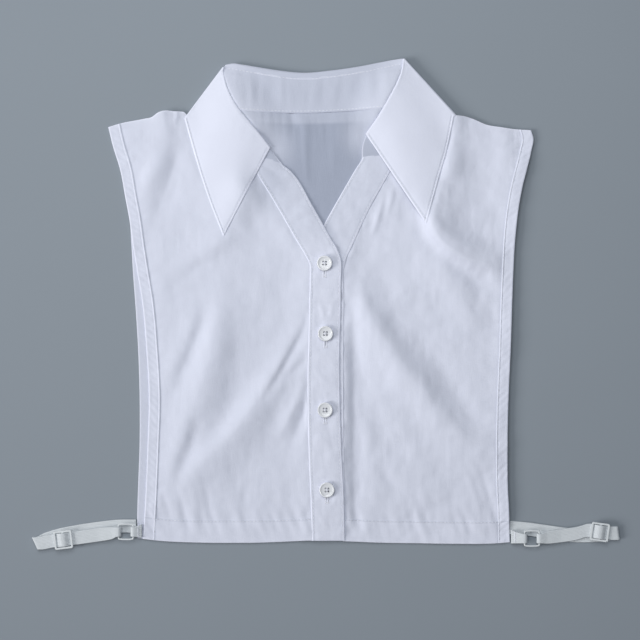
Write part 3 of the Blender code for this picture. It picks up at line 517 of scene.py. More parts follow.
def hem_relief(into, width, ridge=0.2):
    """Height of a turned hem: a groove under its stitches, the ridge of its inner fold, a step down."""
    return (
        HEM_STEP * ease((width + 0.9 - into) / 0.8)
        + ridge * np.exp(-(((into - width) / 0.45) ** 2))
        - 0.12 * np.exp(-(((into - width + 0.9) / 0.4) ** 2))
    )


def roping(x, y, line, width, height=0.26, pitch=5.6, seed=0.0):
    """Slanted ripples that sewing leaves in a narrow hem beside the line."""
    far, run, _ = nearest(x, y, line)
    wave = np.sin(2 * np.pi * (run + 0.9 * far) / pitch + 3 * rough(run / 20, far * 0, 1, seed))
    patchy = 0.55 + 0.45 * rough(run / 14, far * 0, 1, seed + 3)
    return height * wave * patchy * np.exp(-(((far - width / 2) / (0.45 * width)) ** 4))


def crumple(x, y, seed):
    """Faint unevenness of washed and pressed cotton."""
    return (
        0.30 * rough(x, y, 34, seed)
        + 0.22 * rough(x + 0.5 * y, y - 0.5 * x, 15, seed + 7)
        + 0.085 * rough(x, y, 6, seed + 13)
        + 0.035 * rough(x / 2.6, y / 17, 1, seed + 19) * (1 + rough(x, y, 25, seed + 23))
    )


# Cloth pieces

def metres(places):
    return (np.asarray(places, float) + PATTERN_ZERO) * MM


def mesh_of(bm, name):
    """Mesh with the name, made of the shape, which is given up."""
    mesh = bpy.data.meshes.new(name)
    bm.to_mesh(mesh)
    bm.free()
    return mesh


def piece(name, mesh, material):
    """Object with the mesh, riding on the part's one body."""
    mesh.materials.append(material)
    mesh.shade_smooth()
    made = bpy.data.objects.new(name, mesh)
    bpy.context.scene.collection.objects.link(made)
    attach(made, "root")
    return made


def cloth(name, places, material, wall=CLOTH, below=True, sheer_and_shade=0.0):
    """Cloth through a grid of places, with its wall under them or on both sides of them.

    Its sheerness runs from 0, where several layers lie together, to 1 for a single layer that lets the
    darker table through; the same value also carries painted shade, and lower values along edges carry
    painted highlights.
    """
    places = np.asarray(places, float)
    rows, columns = places.shape[:2]
    bm = bmesh.new()
    bmesh.ops.create_grid(bm, x_segments=columns - 1, y_segments=rows - 1, size=0.5)
    mesh = mesh_of(bm, name)
    mesh.vertices.foreach_set("co", metres(places).ravel())
    across = walked(places[rows // 2]) / 10
    down = walked(places[:, columns // 2]) / 10
    weave = np.stack(np.meshgrid(across, down), axis=-1).reshape(-1, 2)
    corners = np.empty(len(mesh.loops), int)
    mesh.loops.foreach_get("vertex_index", corners)
    mesh.uv_layers.new(name="weave").data.foreach_set("uv", weave[corners].ravel())
    sheer_and_shade = np.ravel(np.broadcast_to(sheer_and_shade, (rows, columns))).astype(float)
    mesh.attributes.new("sheer_and_shade", "FLOAT", "POINT").data.foreach_set("value", sheer_and_shade)
    mesh.update()
    if below and mesh.polygons[0].normal.z < 0:
        mesh.flip_normals()
    made = piece(name, mesh, material)
    solidify = made.modifiers.new("wall", "SOLIDIFY")
    solidify.thickness = wall * MM
    solidify.offset = -1 if below else 0
    edge = made.modifiers.new("soft_edge", "BEVEL")
    edge.width = wall * 0.35 * MM
    edge.segments = 2
    edge.limit_method = "ANGLE"
    edge.angle_limit = math.radians(55)
    return made


def surface_of(made):
    return BVHTree.FromObject(made, bpy.context.evaluated_depsgraph_get())


def on_surface(tree, line, lift=0.0, from_above=True):
    """Points and outward directions where the line's places meet the surface from above or below."""
    points, ups = [], []
    start, way = (0.05, Vector((0, 0, -1))) if from_above else (-0.05, Vector((0, 0, 1)))
    for x, y in line:
        place = metres((x, y, 0))
        hit, normal, _, _ = tree.ray_cast(Vector((place[0], place[1], start)), way)
        if hit is None:
            continue
        if normal.dot(way) > 0:
            normal = -normal
        points.append(np.array(hit) + np.array(normal) * lift * MM)
        ups.append(np.array(normal))
    return np.array(points), np.array(ups)


def sew(name, rows, material, pitch=STITCH_PITCH, size=STITCH_SIZE, lean=0.0):
    """One raised stitch after another along each row of (points, outward directions)."""
    bm = bmesh.new()
    for points, ups in rows:
        if len(points) < 2:
            continue
        marks = walked(points)
        count = max(1, int(marks[-1] / (pitch * MM)))
        at = (np.arange(count) + 0.5) * marks[-1] / count
        for mark in at:
            k = min(np.searchsorted(marks, mark) - 1, len(points) - 2)
            k = max(k, 0)
            share = (mark - marks[k]) / max(marks[k + 1] - marks[k], 1e-9)
            centre = Vector(points[k] + (points[k + 1] - points[k]) * share)
            up = Vector(ups[k]).normalized()
            way = Vector(points[k + 1] - points[k]).normalized()
            side = up.cross(way).normalized()
            way = (way * math.cos(lean) + side * math.sin(lean)).normalized()
            side = up.cross(way).normalized()
            long, wide, high = (s * MM / 2 for s in size)
            place = Matrix((
                (*(side * wide), 0), (*(up * high), 0), (*(way * long), 0), (*centre, 1)
            )).transposed()
            bmesh.ops.create_uvsphere(bm, u_segments=6, v_segments=4, radius=1, matrix=place)
    return piece(name, mesh_of(bm, name), material)


def rows_between(first, last, step):
    return np.linspace(first, last, max(2, int(abs(last - first) / step) + 1))


def graded(length, step, near_first=(0,), near_last=(0,)):
    """Distances from 0 to length: the given ones from either end and even steps between them."""
    middle = rows_between(near_first[-1], length - near_last[-1], step)
    return np.concatenate([near_first[:-1], middle, length - np.array(near_last[:-1])[::-1]])


def panel_grid(left_edge, right_edge, tops, bottoms, step, near=((0,), (0,), (0,))):
    """Grid between two edges that run down.

    near lists distances from the left edge, the right edge and the bottom that get a line.
    """
    length = tops[0] - bottoms[0]
    v = (graded(length, step, (0,), near[2]) / length)[:, None]
    y_left, y_right = (tops[k] + (bottoms[k] - tops[k]) * v for k in (0, 1))
    x_left, x_right = left_edge(y_left), right_edge(y_right)
    wide = x_right - x_left
    widest = np.max(wide)
    first, last = near[0][-1], near[1][-1]
    even = graded(widest, step, near[0], near[1])
    middle = first + (even - first) * (wide - first - last) / (widest - first - last)
    across = np.where(even <= first, even, np.where(even >= widest - last, wide - (widest - even), middle))
    y = y_left + (y_right - y_left) * across / wide
    return np.stack([x_left + across, y, y * 0], axis=-1)


def bend_outline(places, row, outline, reach):
    """Moves the top or bottom row onto an outline given across x, and its neighbours with it."""
    x, y = places[..., 0], places[..., 1]
    wanted = smooth(outline, x[row]) - y[row]
    y += wanted * ease(1 - np.abs(y - y[row]) / reach)


def make_back(cotton):
    """Back panel, with the left side's hem and the inside of the neck that shows."""
    places = panel_grid(
        lambda y: smooth(BACK_LEFT_SIDE, y),
        lambda y: smooth(FRONT_RIGHT_SIDE, y) - 0.8,
        (129.4, 127), (-178.4, -181), 1.9, ((0, 0.4, 0.9, 1.6, 3, 4.5, 6, 7, 7.6, 8.2, 8.8, 9.6), (0,), (0,)),
    )
    bend_outline(places, -1, HEM, 30)
    x = places[0, :, 0]
    top = np.where(
        x < -85.3,
        smooth(SHOULDER_LEFT, x),
        np.where(x > 76.8, smooth(SHOULDER_RIGHT, x), smooth(NECK_BACK, x) + 2 * SEAM_TUCK),
    )
    share = ease(1 - np.abs(places[..., 1] - places[:1, :, 1]) / 40)
    places[..., 1] += (top - places[0, :, 1]) * share
    x, y = places[..., 0], places[..., 1]
    inside = ease((y - 41 - 0.75 * np.abs(x - 2)) / 9) * ease((76 - np.abs(x + 12)) / 12)
    open_neck = inside * ease((148 - y) / 4)
    into = x - x[:, :1]
    relief = fold_height(x, y, CREASES_BACK) + 0.12 * (1 + rough(x, y, 16, 3.1))
    relief += 0.1 * rough(x / 2.2, y / 18, 1, 3.7) * (1 + ease((y - 110) / 20))
    raised = (1.3 + 0.5 * ease((80 - y) / 22)) * inside * ease((144 - y) / 14)
    floor = back_lift(x, y) + WALL - 0.4 * pressed(y) * (1 - inside) + raised
    side_line = edge_line(BACK_LEFT_SIDE, 129, -178, SIDE_HEM)
    places[..., 2] = neck_climb(x, y, floor) + relief * open_neck
    hem = hem_relief(into, SIDE_HEM) + roping(x, y, side_line, SIDE_HEM, seed=9)
    places[..., 2] += hem * (y < 40) * (into < 10)
    # Near the collar's front folds the inside of the neck is lighter, for the layers there and as painted
    # light against the shade of its slope. The left edge is whiter, for its turned layers and a painted
    # highlight.
    near_fold = 1 - ease(from_folds(x, y) / 26)
    sheer_and_shade = SHEER_BACK + SHEER_AND_SHADE_INSIDE * inside * (1 - 0.45 * ease((y - 131.5) / 2)) * (1 - 0.75 * near_fold)
    sheer_and_shade -= SHEER_BACK * np.exp(-((into / 0.7) ** 2)) * (y < 128)
    made = cloth("back", places, cotton, sheer_and_shade=sheer_and_shade)
    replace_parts(made, "back_panel")
    return made


def leaf_outline(left):
    """Outline of the collar leaf's front half as it lies on the front."""
    folds = FOLD_LEFT if left else FOLD_RIGHT
    edge = LEAF_LEFT_EDGE if left else LEAF_RIGHT_EDGE
    return np.array([(row[0], row[1]) for row in folds[::-1]] + list(edge) + [folds[-1][:2]])


def under_leaf(x, y, left):
    """1 where the leaf covers a front and 0 away from it."""
    outline = leaf_outline(left)
    inside = np.zeros(np.shape(x), bool)
    for (ax, ay), (bx, by) in zip(outline, outline[1:]):
        crosses = ((ay > y) != (by > y)) & (x < (bx - ax) * (y - ay) / (by - ay + 1e-12) + ax)
        inside ^= crosses
    far = nearest(x, y, outline)[0]
    return ease(0.5 + np.where(inside, far, -far) / 5 + 0.4)


def front_relief(x, y, left, hem_side, hem_bottom, seam_line):
    """Creases, puckers and unevenness of a front, besides its largest folds."""
    creases = CREASES_LEFT if left else CREASES_RIGHT
    seed = 1.7 if left else 5.3
    relief = fold_height(x, y, creases) + (1.15 if left else 1.6) * crumple(x, y, seed)
    relief += puckers(x, y, hem_side, 5.5, 0.22, 8, seed + 1)
    relief += puckers(x, y, hem_bottom, 6.0, 0.5, 11, seed + 2)
    relief += puckers(x, y, seam_line, 7.0, 0.26, 7, seed + 3)
    relief *= (1 - under_leaf(x, y, left)) * ease(nearest(x, y, seam_line)[0] / 2.5)
    return relief


def make_front(left, cotton, thread):
    """Front panel with its hems, which runs under its band and the collar leaf."""
    side = FRONT_LEFT_SIDE if left else FRONT_RIGHT_SIDE
    seam = PLACKET_LEFT_EDGE if left else PLACKET_RIGHT_EDGE
    neck = NECK_LEFT if left else NECK_RIGHT
    outwards = -1 if left else 1

    def side_edge(y):
        return smooth(side, y)

    def seam_edge(y):
        x = np.where(y > seam[0][0], smooth(neck[:3], y), smooth(seam, y))
        return x - outwards * SEAM_TUCK

    tops, bottoms = (side[0][0], neck[0][0] + SEAM_TUCK), (-179, -180.2)
    edges, near = (side_edge, seam_edge), (NEAR_SIDE_HEM, (0,), NEAR_BOTTOM_HEM)
    if not left:
        tops, bottoms = tops[::-1], (-180.8, -181)
        edges, near = edges[::-1], ((0,), NEAR_SIDE_HEM, NEAR_BOTTOM_HEM)
    places = panel_grid(*edges, tops, bottoms, 1.3, near)
    bend_outline(places, 0, SHOULDER_LEFT_FRONT if left else SHOULDER_RIGHT_FRONT, 40)
    bend_outline(places, -1, HEM, 30)
    x, y = places[..., 0], places[..., 1]
    x_edge = x[:, :1] if left else x[:, -1:]
    into = np.abs(x - x_edge)
    above = y - y[-1:, :]
    hem_side = edge_line(side, side[0][0] + 3, -180, -outwards * SIDE_HEM)
    across = np.linspace(x[-1, 0], x[-1, -1], 60)
    hem_bottom = np.stack([across, smooth(HEM, across) + BOTTOM_HEM], axis=1)
    seam_line = edge_line(seam, seam[0][0], -180)
    z = front_top(x, y, left)
    z += front_relief(x, y, left, hem_side, hem_bottom, seam_line)
    z += np.maximum(hem_relief(into, SIDE_HEM), hem_relief(above, BOTTOM_HEM, 0.05))
    z += roping(x, y, hem_side, SIDE_HEM, seed=outwards) * (into < SIDE_HEM)
    z += turned_edge(np.minimum(into, above), ridge=0.1)
    lowest = front_rests(x, y) - 0.3
    places[..., 2] = lowest + np.logaddexp(0, (z - lowest) * 6) / 6
    from_top = np.abs(y - y[:1])
    # Rims along the edges and the hem's inner fold are whiter: more layers there, and a painted highlight.
    # Painted shade falls along the rows of stitches and in front of the collar's left point.
    rim = np.exp(-((np.minimum(np.minimum(into, above), from_top) / 0.75) ** 2))
    rim = np.maximum(rim, (0.6 if left else 0.3) * np.exp(-(((into - SIDE_HEM) / 0.5) ** 2)))
    hem = np.maximum(ease(SIDE_HEM + 1 - into), ease(BOTTOM_HEM + 1 - above))
    name = "front_panel_left" if left else "front_panel_right"
    sheer_and_shade = ((SHEER_AND_SHADE_FRONT_LEFT if left else SHEER_AND_SHADE_FRONT_RIGHT) - 0.04 * hem) * (1 - 0.8 * rim)
    sheer_and_shade += 0.3 * stitch_row_shade(into - SIDE_HEM - 0.9) + 0.25 * stitch_row_shade(above - BOTTOM_HEM)
    made = cloth(name, places, cotton, sheer_and_shade=sheer_and_shade + 0.25 * shade_by_left_point(x, y))
    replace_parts(made, "front_left" if left else "front_right")
    tree = surface_of(made)
    shown = [hem_side, hem_bottom[3:] if left else hem_bottom[:-3]]
    stitches = sew(name + "_stitches", [on_surface(tree, line) for line in shown], thread)
    return made


def band_grid(outer, inner, neck, top, left):
    """Grid of a placket from its outer to its inner edge, close together at both."""
    across = np.concatenate([[0, 0.35, 0.8], np.linspace(1.6, 22.4, 27), [23.2, 23.65, 24]]) / 24
    v = np.linspace(0, 1, 250)[:, None]
    y_outer = outer[0][0] - 0.6 + (-180 - outer[0][0] + 0.6) * v
    y_inner = inner[0][0] + (-180 - inner[0][0]) * v
    x_outer, x_inner = smooth(outer, y_outer), smooth(inner, y_inner)
    x = x_outer + (x_inner - x_outer) * across
    y = y_outer + (y_inner - y_outer) * across
    y[0] = smooth([(b, a) for a, b in neck], x[0]) + SEAM_TUCK
    crown = 0.25 if left else 0.25 - 0.6 * ease((45 - y) / 15)
    z = smooth(top, y) + crown * np.sin(np.pi * across)
    places = np.stack([x, y, z], axis=-1)
    from_edge = 24 * np.minimum(across, 1 - across) * np.ones_like(y)
    return (places if left else places[:, ::-1]), (from_edge if left else from_edge[:, ::-1])


def make_placket(left, cotton, thread):
    """Button band, stitched along both edges; the left one is pressed in round its buttons."""
    outer = PLACKET_LEFT_EDGE if left else PLACKET_RIGHT_EDGE
    inner = PLACKET_LEFT_INNER if left else PLACKET_RIGHT_INNER
    neck = NECK_LEFT if left else NECK_RIGHT
    top = PLACKET_TOP if left else PLACKET_UNDER_TOP
    places, from_edge = band_grid(outer, inner, neck, top, left)
    x, y = places[..., 0], places[..., 1]
    rows = [
        edge_line(outer, outer[0][0] - 4, -180, EDGE_STITCH * (1 if left else -1) * 1.2),
        edge_line(inner, inner[0][0] - 2, -180, -EDGE_STITCH * (1 if left else -1) * 1.2),
    ]
    relief = turned_edge(from_edge)
    for number, line in enumerate(rows):
        relief += groove(x, y, line) + puckers(x, y, line, 6.0, 0.18, 5, 20 + number + 3 * left)
    relief += 0.22 * rough(x, y, 9, 31 + left) + 0.09 * rough(x, y, 4, 35 + left)
    relief += 0.03 * rough(x / 2.6, y / 15, 1, 38 + left)
    if left:
        relief += fold_height(x, y, CREASES_PLACKET_LEFT)
        for bx, by in BUTTONS:
            far = np.hypot(x - bx, (y - by) * 0.8)
            relief += -0.35 * np.exp(-((far / 8) ** 2)) * (1 + 0.5 * rough(x, y, 4, 40 + by))
    places[..., 2] += relief * ease((y + 186) / 5)
    name = "button_band" if left else "lower_band"
    # The band grows darker towards the neck, is whiter along its edges for its turned layers and a painted
    # highlight, and has painted shade along its stitches and in front of the collar's left point.
    sheer_and_shade = (SHEER_BAND + 0.12 * ease((y - 35) / 20)) * (1 - 0.9 * np.exp(-((from_edge / 0.75) ** 2)))
    sheer_and_shade += 0.28 * stitch_row_shade(from_edge - 1.2 * EDGE_STITCH) + 0.2 * shade_by_left_point(x, y)
    # Painted shadow on the lower band beside the upper band's inner edge.
    if not left:
        upper_edge = edge_line(PLACKET_LEFT_INNER, 85, 20)
        sheer_and_shade += 0.3 * np.exp(-((nearest(x, y, upper_edge)[0] / 5) ** 2))
    made = cloth(name, places, cotton, wall=BAND_WALL, sheer_and_shade=sheer_and_shade)
    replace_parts(made, "placket_left" if left else "placket_right")
    tree = surface_of(made)
    stitches = sew(name + "_stitches", [on_surface(tree, line) for line in rows], thread)
    return made


def collar_stations(turns, backs):
    """Fold, leaf edge, neck seam, roll and spread direction at stations round the collar."""
    stations = []

    def front(folds, leaf_edge, neck_curve, left):
        share = FRONT_SHARES
        folds, edges = along(folds, share), along(leaf_edge, share)
        necks = along([(x, y) for y, x in neck_curve], share)
        edge_z = cover_top(edges[:, 0], edges[:, 1], left) + LEAF_CLEAR + LEAF_WALL / 2
        side_z = front_top(necks[:1, 0], necks[:1, 1], left)[0] - WALL / 2 + NECK_SIDE_RISE
        end_z = (PLACKET_TOP if left else PLACKET_UNDER_TOP)[-1][1] - WALL / 2
        neck_z = side_z + (end_z - side_z) * ease(share * 2)
        up = np.array((0, 0, 1.0))
        edges = np.column_stack([edges, edge_z])
        necks = np.column_stack([necks, neck_z])
        return [(folds[k, :3], edges[k], necks[k], folds[k, 3], up) for k in range(len(share))]

    def turn(before, after, out):
        """Half turn round the side of the neck, between the stations before and after it."""
        out = np.array((*out, 0.0))
        for phi in np.linspace(0, np.pi, turns + 1)[1:-1]:
            spread = before[4] * np.cos(phi) + out * np.sin(phi)
            upwards = np.sign(np.cos(phi)) * abs(np.cos(phi)) ** 0.6
            pressed_flat = before[4] * upwards + out * np.sin(phi) ** 0.6
            places = [
                (before[k] + after[k]) / 2 + abs(before[k][2] - after[k][2]) / 2 * pressed_flat
                for k in range(3)
            ]
            stations.append((*places, before[3], spread))

    left_front = front(FOLD_LEFT, LEAF_LEFT_EDGE, NECK_LEFT, True)[::-1]
    right_front = front(FOLD_RIGHT, LEAF_RIGHT_EDGE, NECK_RIGHT, False)
    down = np.array((0, 0, -1.0))
    back = [
        (f[:3], np.array((*e, BACK_LEAF_HEIGHT)), np.array((*n, STACK + WALL / 2)), f[3], down)
        for f, e, n in zip(along(FOLD_BACK, backs), along(LEAF_BACK_EDGE, backs), along(NECK_BACK, backs))
    ]
    stations.extend(left_front)
    turn(left_front[-1], back[0], LEFT_OUT)
    stations.extend(back)
    turn(back[-1], right_front[0], RIGHT_OUT)
    stations.extend(right_front)
    fold, edge, neck, roll, spread = (np.array(column) for column in zip(*stations))
    return fold, edge, neck, roll[:, None], spread


def settled(z, free, lowest, rounds=60):
    """Heights evened out as springy cloth would, kept above what lies under it."""
    for _ in range(rounds):
        mean = z.copy()
        mean[1:-1, 1:-1] = (z[:-2, 1:-1] + z[2:, 1:-1] + z[1:-1, :-2] + z[1:-1, 2:]) / 4
        z = np.where(free, np.maximum(mean, lowest), z)
    return z


def make_collar(cotton, thread):
    stations = collar_stations(turns=14, backs=90)
    fold, edge, _, _, spread = stations
    way = edge - fold
    way -= spread * np.einsum("ij,ij->i", way, spread)[:, None]
    way /= np.linalg.norm(way, axis=1)[:, None]
    make_leaf(stations, way, cotton, thread)
    make_stand(stations, way, cotton, thread)


def make_leaf(stations, way, cotton, thread):
    """Collar leaf, from inside the neck over the roll of the fold and out to its stitched edge."""
    fold, edge, _, roll, spread = stations
    centre = fold + roll * way
    arc = np.radians(np.linspace(-90, 90, 15))
    high = ROLL_HEIGHT * roll * spread
    hidden = [centre - high + s * way for s in (3.5, 1.8)]
    rolled = [centre + np.sin(a) * high - np.cos(a) * roll * way for a in arc]
    start = rolled[-1]
    at_edge = [0.967, 0.972, 0.9765, 0.981, 0.986, 0.991, 0.996, 1]
    shares = np.concatenate([np.linspace(0, 0.96, 66)[1:], at_edge])
    flat = [start + (edge - start) * s for s in shares]
    places = np.array(hidden + rolled + flat).transpose(1, 0, 2)
    bent = len(hidden) + len(rolled)
    s = np.concatenate([np.zeros(bent), shares])[None, :]
    on_front = spread[:, 2:] > 0.99
    at_back = spread[:, 2:] < -0.99
    x, y, z = places[..., 0], places[..., 1], places[..., 2]
    z += LEAF_CROWN * np.sin(np.pi * s) * ease((roll - 0.8) / 0.8) * on_front
    back_z = edge[:, 2:] + (start[:, 2:] - edge[:, 2:]) * (1 - s) ** 3
    z[:] = np.where(at_back & (s > 0), back_z, z)
    lowest = np.full(x.shape, -1e9)
    for left in (True, False):
        half = on_front & ((x < -20) if left else (x > 20))
        neck_edge = smooth(NECK_LEFT if left else NECK_RIGHT, y)
        outside = (x < neck_edge - 1) if left else (x > neck_edge + 1)
        lies = half & (s > 0) & ((y < 112) | outside)
        lowest = np.where(lies, cover_top(x, y, left) + LEAF_CLEAR + LEAF_WALL / 2, lowest)
        folds, edges = (FOLD_LEFT, LEAF_LEFT_EDGE) if left else (FOLD_RIGHT, LEAF_RIGHT_EDGE)
        front_edge = along([edges[-1], folds[-1][:2]], 30)
        far, run, _ = nearest(x, y, front_edge)
        dropped = (0.85 if left else 0.1) * (1 - ease(far / 13)) * ease((walked(front_edge)[-1] - run) / 16)
        z[:] = np.where(lies, lowest + np.maximum(z - lowest, 0) * (1 - dropped), z)
    z[:] = settled(np.maximum(z, lowest), on_front & (s > 0) & (s < 1), lowest)
    lines = {}
    relief, rim, sewn = (np.zeros(x.shape) for _ in range(3))
    for left in (True, False):
        folds = np.array(FOLD_LEFT if left else FOLD_RIGHT)[:, :2]
        outer = along(LEAF_LEFT_EDGE if left else LEAF_RIGHT_EDGE, 40)
        outline = np.vstack([outer, along([outer[-1], folds[-1]], 30)[1:]])
        lines[left] = beside(outline, EDGE_STITCH if left else -EDGE_STITCH)
        half = on_front & ((x < -20) if left else (x > 20))
        far = nearest(x, y, outline)[0]
        relief += half * (groove(x, y, lines[left], 0.28, 0.45) + turned_edge(far, 0.2, 0.5, 0.14))
        rim = np.maximum(rim, half * (s > 0) * np.exp(-((far / 0.75) ** 2)))
        sewn = np.maximum(sewn, half * (s > 0) * stitch_row_shade(nearest(x, y, lines[left])[0]))
        relief += half * puckers(x, y, lines[left], 9, 0.12, 6, 50 + left)
        relief += half * puckers(x, y, along(folds, 50), 6, 0.14, 9, 52 + left) * ease(s / 0.1)
        relief += half * 0.22 * rough(x, y, 26, 55 + left) * ease(far / 12)
    z += relief * (s > 0)
    # The leaf is whiter along its edge, for its turned layers and a painted highlight; the inside of its roll
    # at the back gets painted shade, and so do its rows of stitches.
    seen_inside = at_back & (np.arange(x.shape[1]) < len(hidden) + 6)
    sheer_and_shade = SHEER_LEAF * (1 - rim) + SHADE_LEAF_INSIDE * seen_inside + 0.4 * sewn
    leaf = cloth("leaf", places, cotton, wall=LEAF_WALL, below=False, sheer_and_shade=sheer_and_shade)
    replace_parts(leaf, "collar_leaf")
    tree = surface_of(leaf)
    rows = [on_surface(tree, lines[left]) for left in (True, False)]
    back_row = beside(along(LEAF_BACK_EDGE, 80), EDGE_STITCH)
    rows.append(on_surface(tree, back_row, from_above=False))
    leaf_stitches = sew("leaf_stitches", rows, thread)


def make_stand(stations, way, cotton, thread):
    """Collar stand, from under the roll of the fold down to the neck seam."""
    fold, _, neck, roll, spread = stations
    neck = neck + (0, 0, 1) * (0.65 - 0.2 * spread[:, 2:])
    centre = fold + roll * way
    high = (ROLL_HEIGHT * roll + 0.08) * spread
    arc = np.radians((-30, -45, -60, -75, -90))
    rolled = [centre + np.sin(a) * high - np.cos(a) * (roll + 0.08) * way for a in arc]
    start = rolled[-1]
    share = np.concatenate([[0.02, 0.05, 0.08], np.linspace(0.11, 0.94, 24), [0.96, 0.975, 0.99, 1]])
    down = [start + (neck - start) * s for s in share]
    places = np.array(rolled + down).transpose(1, 0, 2)
    share = np.concatenate([np.zeros(len(rolled)), share])[None, :]
    x, y, z = places[..., 0], places[..., 1], places[..., 2]
    at_back = spread[:, 2:] < -0.99
    count = len(x)
    front_end = ease((np.arange(count) - (count - 16)) / 15)[:, None]
    x -= 1.5 * front_end * np.sin(np.pi * share)
    to_neck = np.linalg.norm(neck - start, axis=1)[:, None]
    run = share * to_neck
    below_fold = 3.0
    relief = 0.34 * rough(x, y * 0.2, 7, 61) + 0.13 * rough(x, y * 0.2, 3.2, 64)
    relief *= np.sin(np.pi * share)
    relief += -0.1 * np.exp(-(((run - below_fold) / 0.6) ** 2)) * (share > 0)
    relief += turned_edge(to_neck - run, 0.25, 0.6, 0.06)
    z[:] = np.where(at_back, z + (neck_climb(x, y, z) - z) * ease(share / 0.25), z)
    z += relief * at_back
    # Painted shade on the stand, lightened near the collar's front folds as painted light against their
    # slope; the front ends get painted shade, with a whiter rim at the very end as a painted highlight.
    near_fold = 1 - ease(from_folds(x, y) / 28)
    sheer_and_shade = SHEER_AND_SHADE_STAND - 0.2 * near_fold * at_back + 0.05 * np.sin(np.pi * share)
    ends = np.array([FOLD_LEFT[-1][:2], FOLD_RIGHT[-1][:2]])
    from_end = np.min(np.linalg.norm(fold[:, None, :2] - ends, axis=2), axis=1)[:, None]
    at_end = np.exp(-((from_end / 0.6) ** 2))
    sheer_and_shade = np.where(spread[:, 2:] > 0.99, SHADE_STAND_FRONT * (1 - at_end), sheer_and_shade)
    stand = cloth("stand", places, cotton, wall=STAND_WALL, below=False, sheer_and_shade=sheer_and_shade)
    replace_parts(stand, "collar_stand")
    tree = surface_of(stand)
    middle = slice(np.argmax(at_back[:, 0]) + 2, count - np.argmax(at_back[::-1, 0]) - 2)
    first, reach = start[middle, :2], (neck - start)[middle, :2]
    top_line = first + reach * (below_fold / to_neck[middle])
    seam_line = first + reach * (1 - 1.4 / to_neck[middle])
    stand_stitches = sew(
        "stand_stitches", [on_surface(tree, top_line), on_surface(tree, seam_line)], thread
    )


# Buttons and their sewing

def make_button(number, x, y, pearl, thread):
    """Four-hole button with a raised rim and its crossed threads."""
    radius, thick, rim, hole, spread = BUTTON_ACROSS / 2, 2.2, 1.1, 0.75, 1.45
    base = float(smooth(PLACKET_TOP, y)) + 0.25 + GAP
    dish = thick - 0.42
    profile = [
        (0, 0.0), (radius - 1.2, 0.0), (radius - 0.5, 0.3), (radius - 0.15, 0.75), (radius, 1.3),
        (radius - 0.08, 1.75), (radius - 0.35, thick - 0.08), (radius - 0.65, thick),
        (radius - rim + 0.1, thick - 0.08), (radius - rim - 0.2, thick - 0.3),
        (radius - rim - 0.6, dish), (spread + hole, dish - 0.05), (0, dish - 0.05),
    ]
    bm = bmesh.new()
    verts = [bm.verts.new((r, 0, z)) for r, z in profile]
    edges = [bm.edges.new(pair) for pair in zip(verts, verts[1:])]
    bmesh.ops.spin(
        bm, geom=verts + edges, cent=(0, 0, 0), axis=(0, 0, 1), angle=2 * math.pi, steps=56, use_merge=True
    )
    bmesh.ops.remove_doubles(bm, verts=bm.verts, dist=0.001)
    bmesh.ops.recalc_face_normals(bm, faces=bm.faces)
    cutter = bmesh.new()
    centres = []
    for k in range(4):
        angle = math.pi / 4 + k * math.pi / 2
        centre = Vector((spread * math.cos(angle), spread * math.sin(angle), 0))
        centres.append(centre)
        bmesh.ops.create_cone(
            cutter, cap_ends=True, segments=20, radius1=hole, radius2=hole, depth=3 * thick,
            matrix=Matrix.Translation(centre + Vector((0, 0, thick / 2))),
        )
    name = f"shirt_button_{number}"
    blank = bpy.data.objects.new("blank", mesh_of(bm, name + "_disc"))
    tool = bpy.data.objects.new("tool", mesh_of(cutter, name + "_pins"))
    for each in (blank, tool):
        bpy.context.scene.collection.objects.link(each)
    cut = blank.modifiers.new("holes", "BOOLEAN")
    cut.operation = "DIFFERENCE"
    cut.object = tool
    drilled = bpy.data.meshes.new_from_object(blank.evaluated_get(bpy.context.evaluated_depsgraph_get()))
    drilled.name = name
    bpy.data.objects.remove(blank)
    bpy.data.objects.remove(tool)
    place = Matrix.Translation(Vector(metres((x, y, base)))) @ Matrix.Scale(MM, 4)
    drilled.transform(place)
    made = piece(name, drilled, pearl)
    drilled.set_sharp_from_angle(angle=math.radians(50))
    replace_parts(made, f"button_{number}")

    bm = bmesh.new()
    for k in range(2):
        a, b = centres[k], centres[k + 2]
        for aside in (-0.16, 0.16):
            points = []
            way = (b - a).normalized()
            side = Vector((-way.y, way.x, 0)) * aside
            for t in np.linspace(0, 1, 7):
                height = dish - 0.5 + 0.75 * math.sin(math.pi * t) ** 0.5 + 0.12 * k * math.sin(math.pi * t)
                points.append(a.lerp(b, t) + side + Vector((0, 0, height)))
            strand(bm, points, 0.17)
    bm.transform(place)
    piece(name + "_thread", mesh_of(bm, name + "_thread"), thread)


def strand(bm, points, radius, sides=8):
    """Round strand through the points, closed at both ends."""
    before = None
    for k, point in enumerate(points):
        way = (points[min(k + 1, len(points) - 1)] - points[max(k - 1, 0)]).normalized()
        turned = way.to_track_quat("Z", "Y").to_matrix().to_4x4()
        loop = bmesh.ops.create_circle(
            bm, cap_ends=k in (0, len(points) - 1), segments=sides, radius=radius,
            matrix=Matrix.Translation(point) @ turned,
        )["verts"]
        edges = list({e for v in loop for e in v.link_edges})
        if before:
            bmesh.ops.bridge_loops(bm, edges=before + edges)
        before = edges
    bmesh.ops.recalc_face_normals(bm, faces=bm.faces)


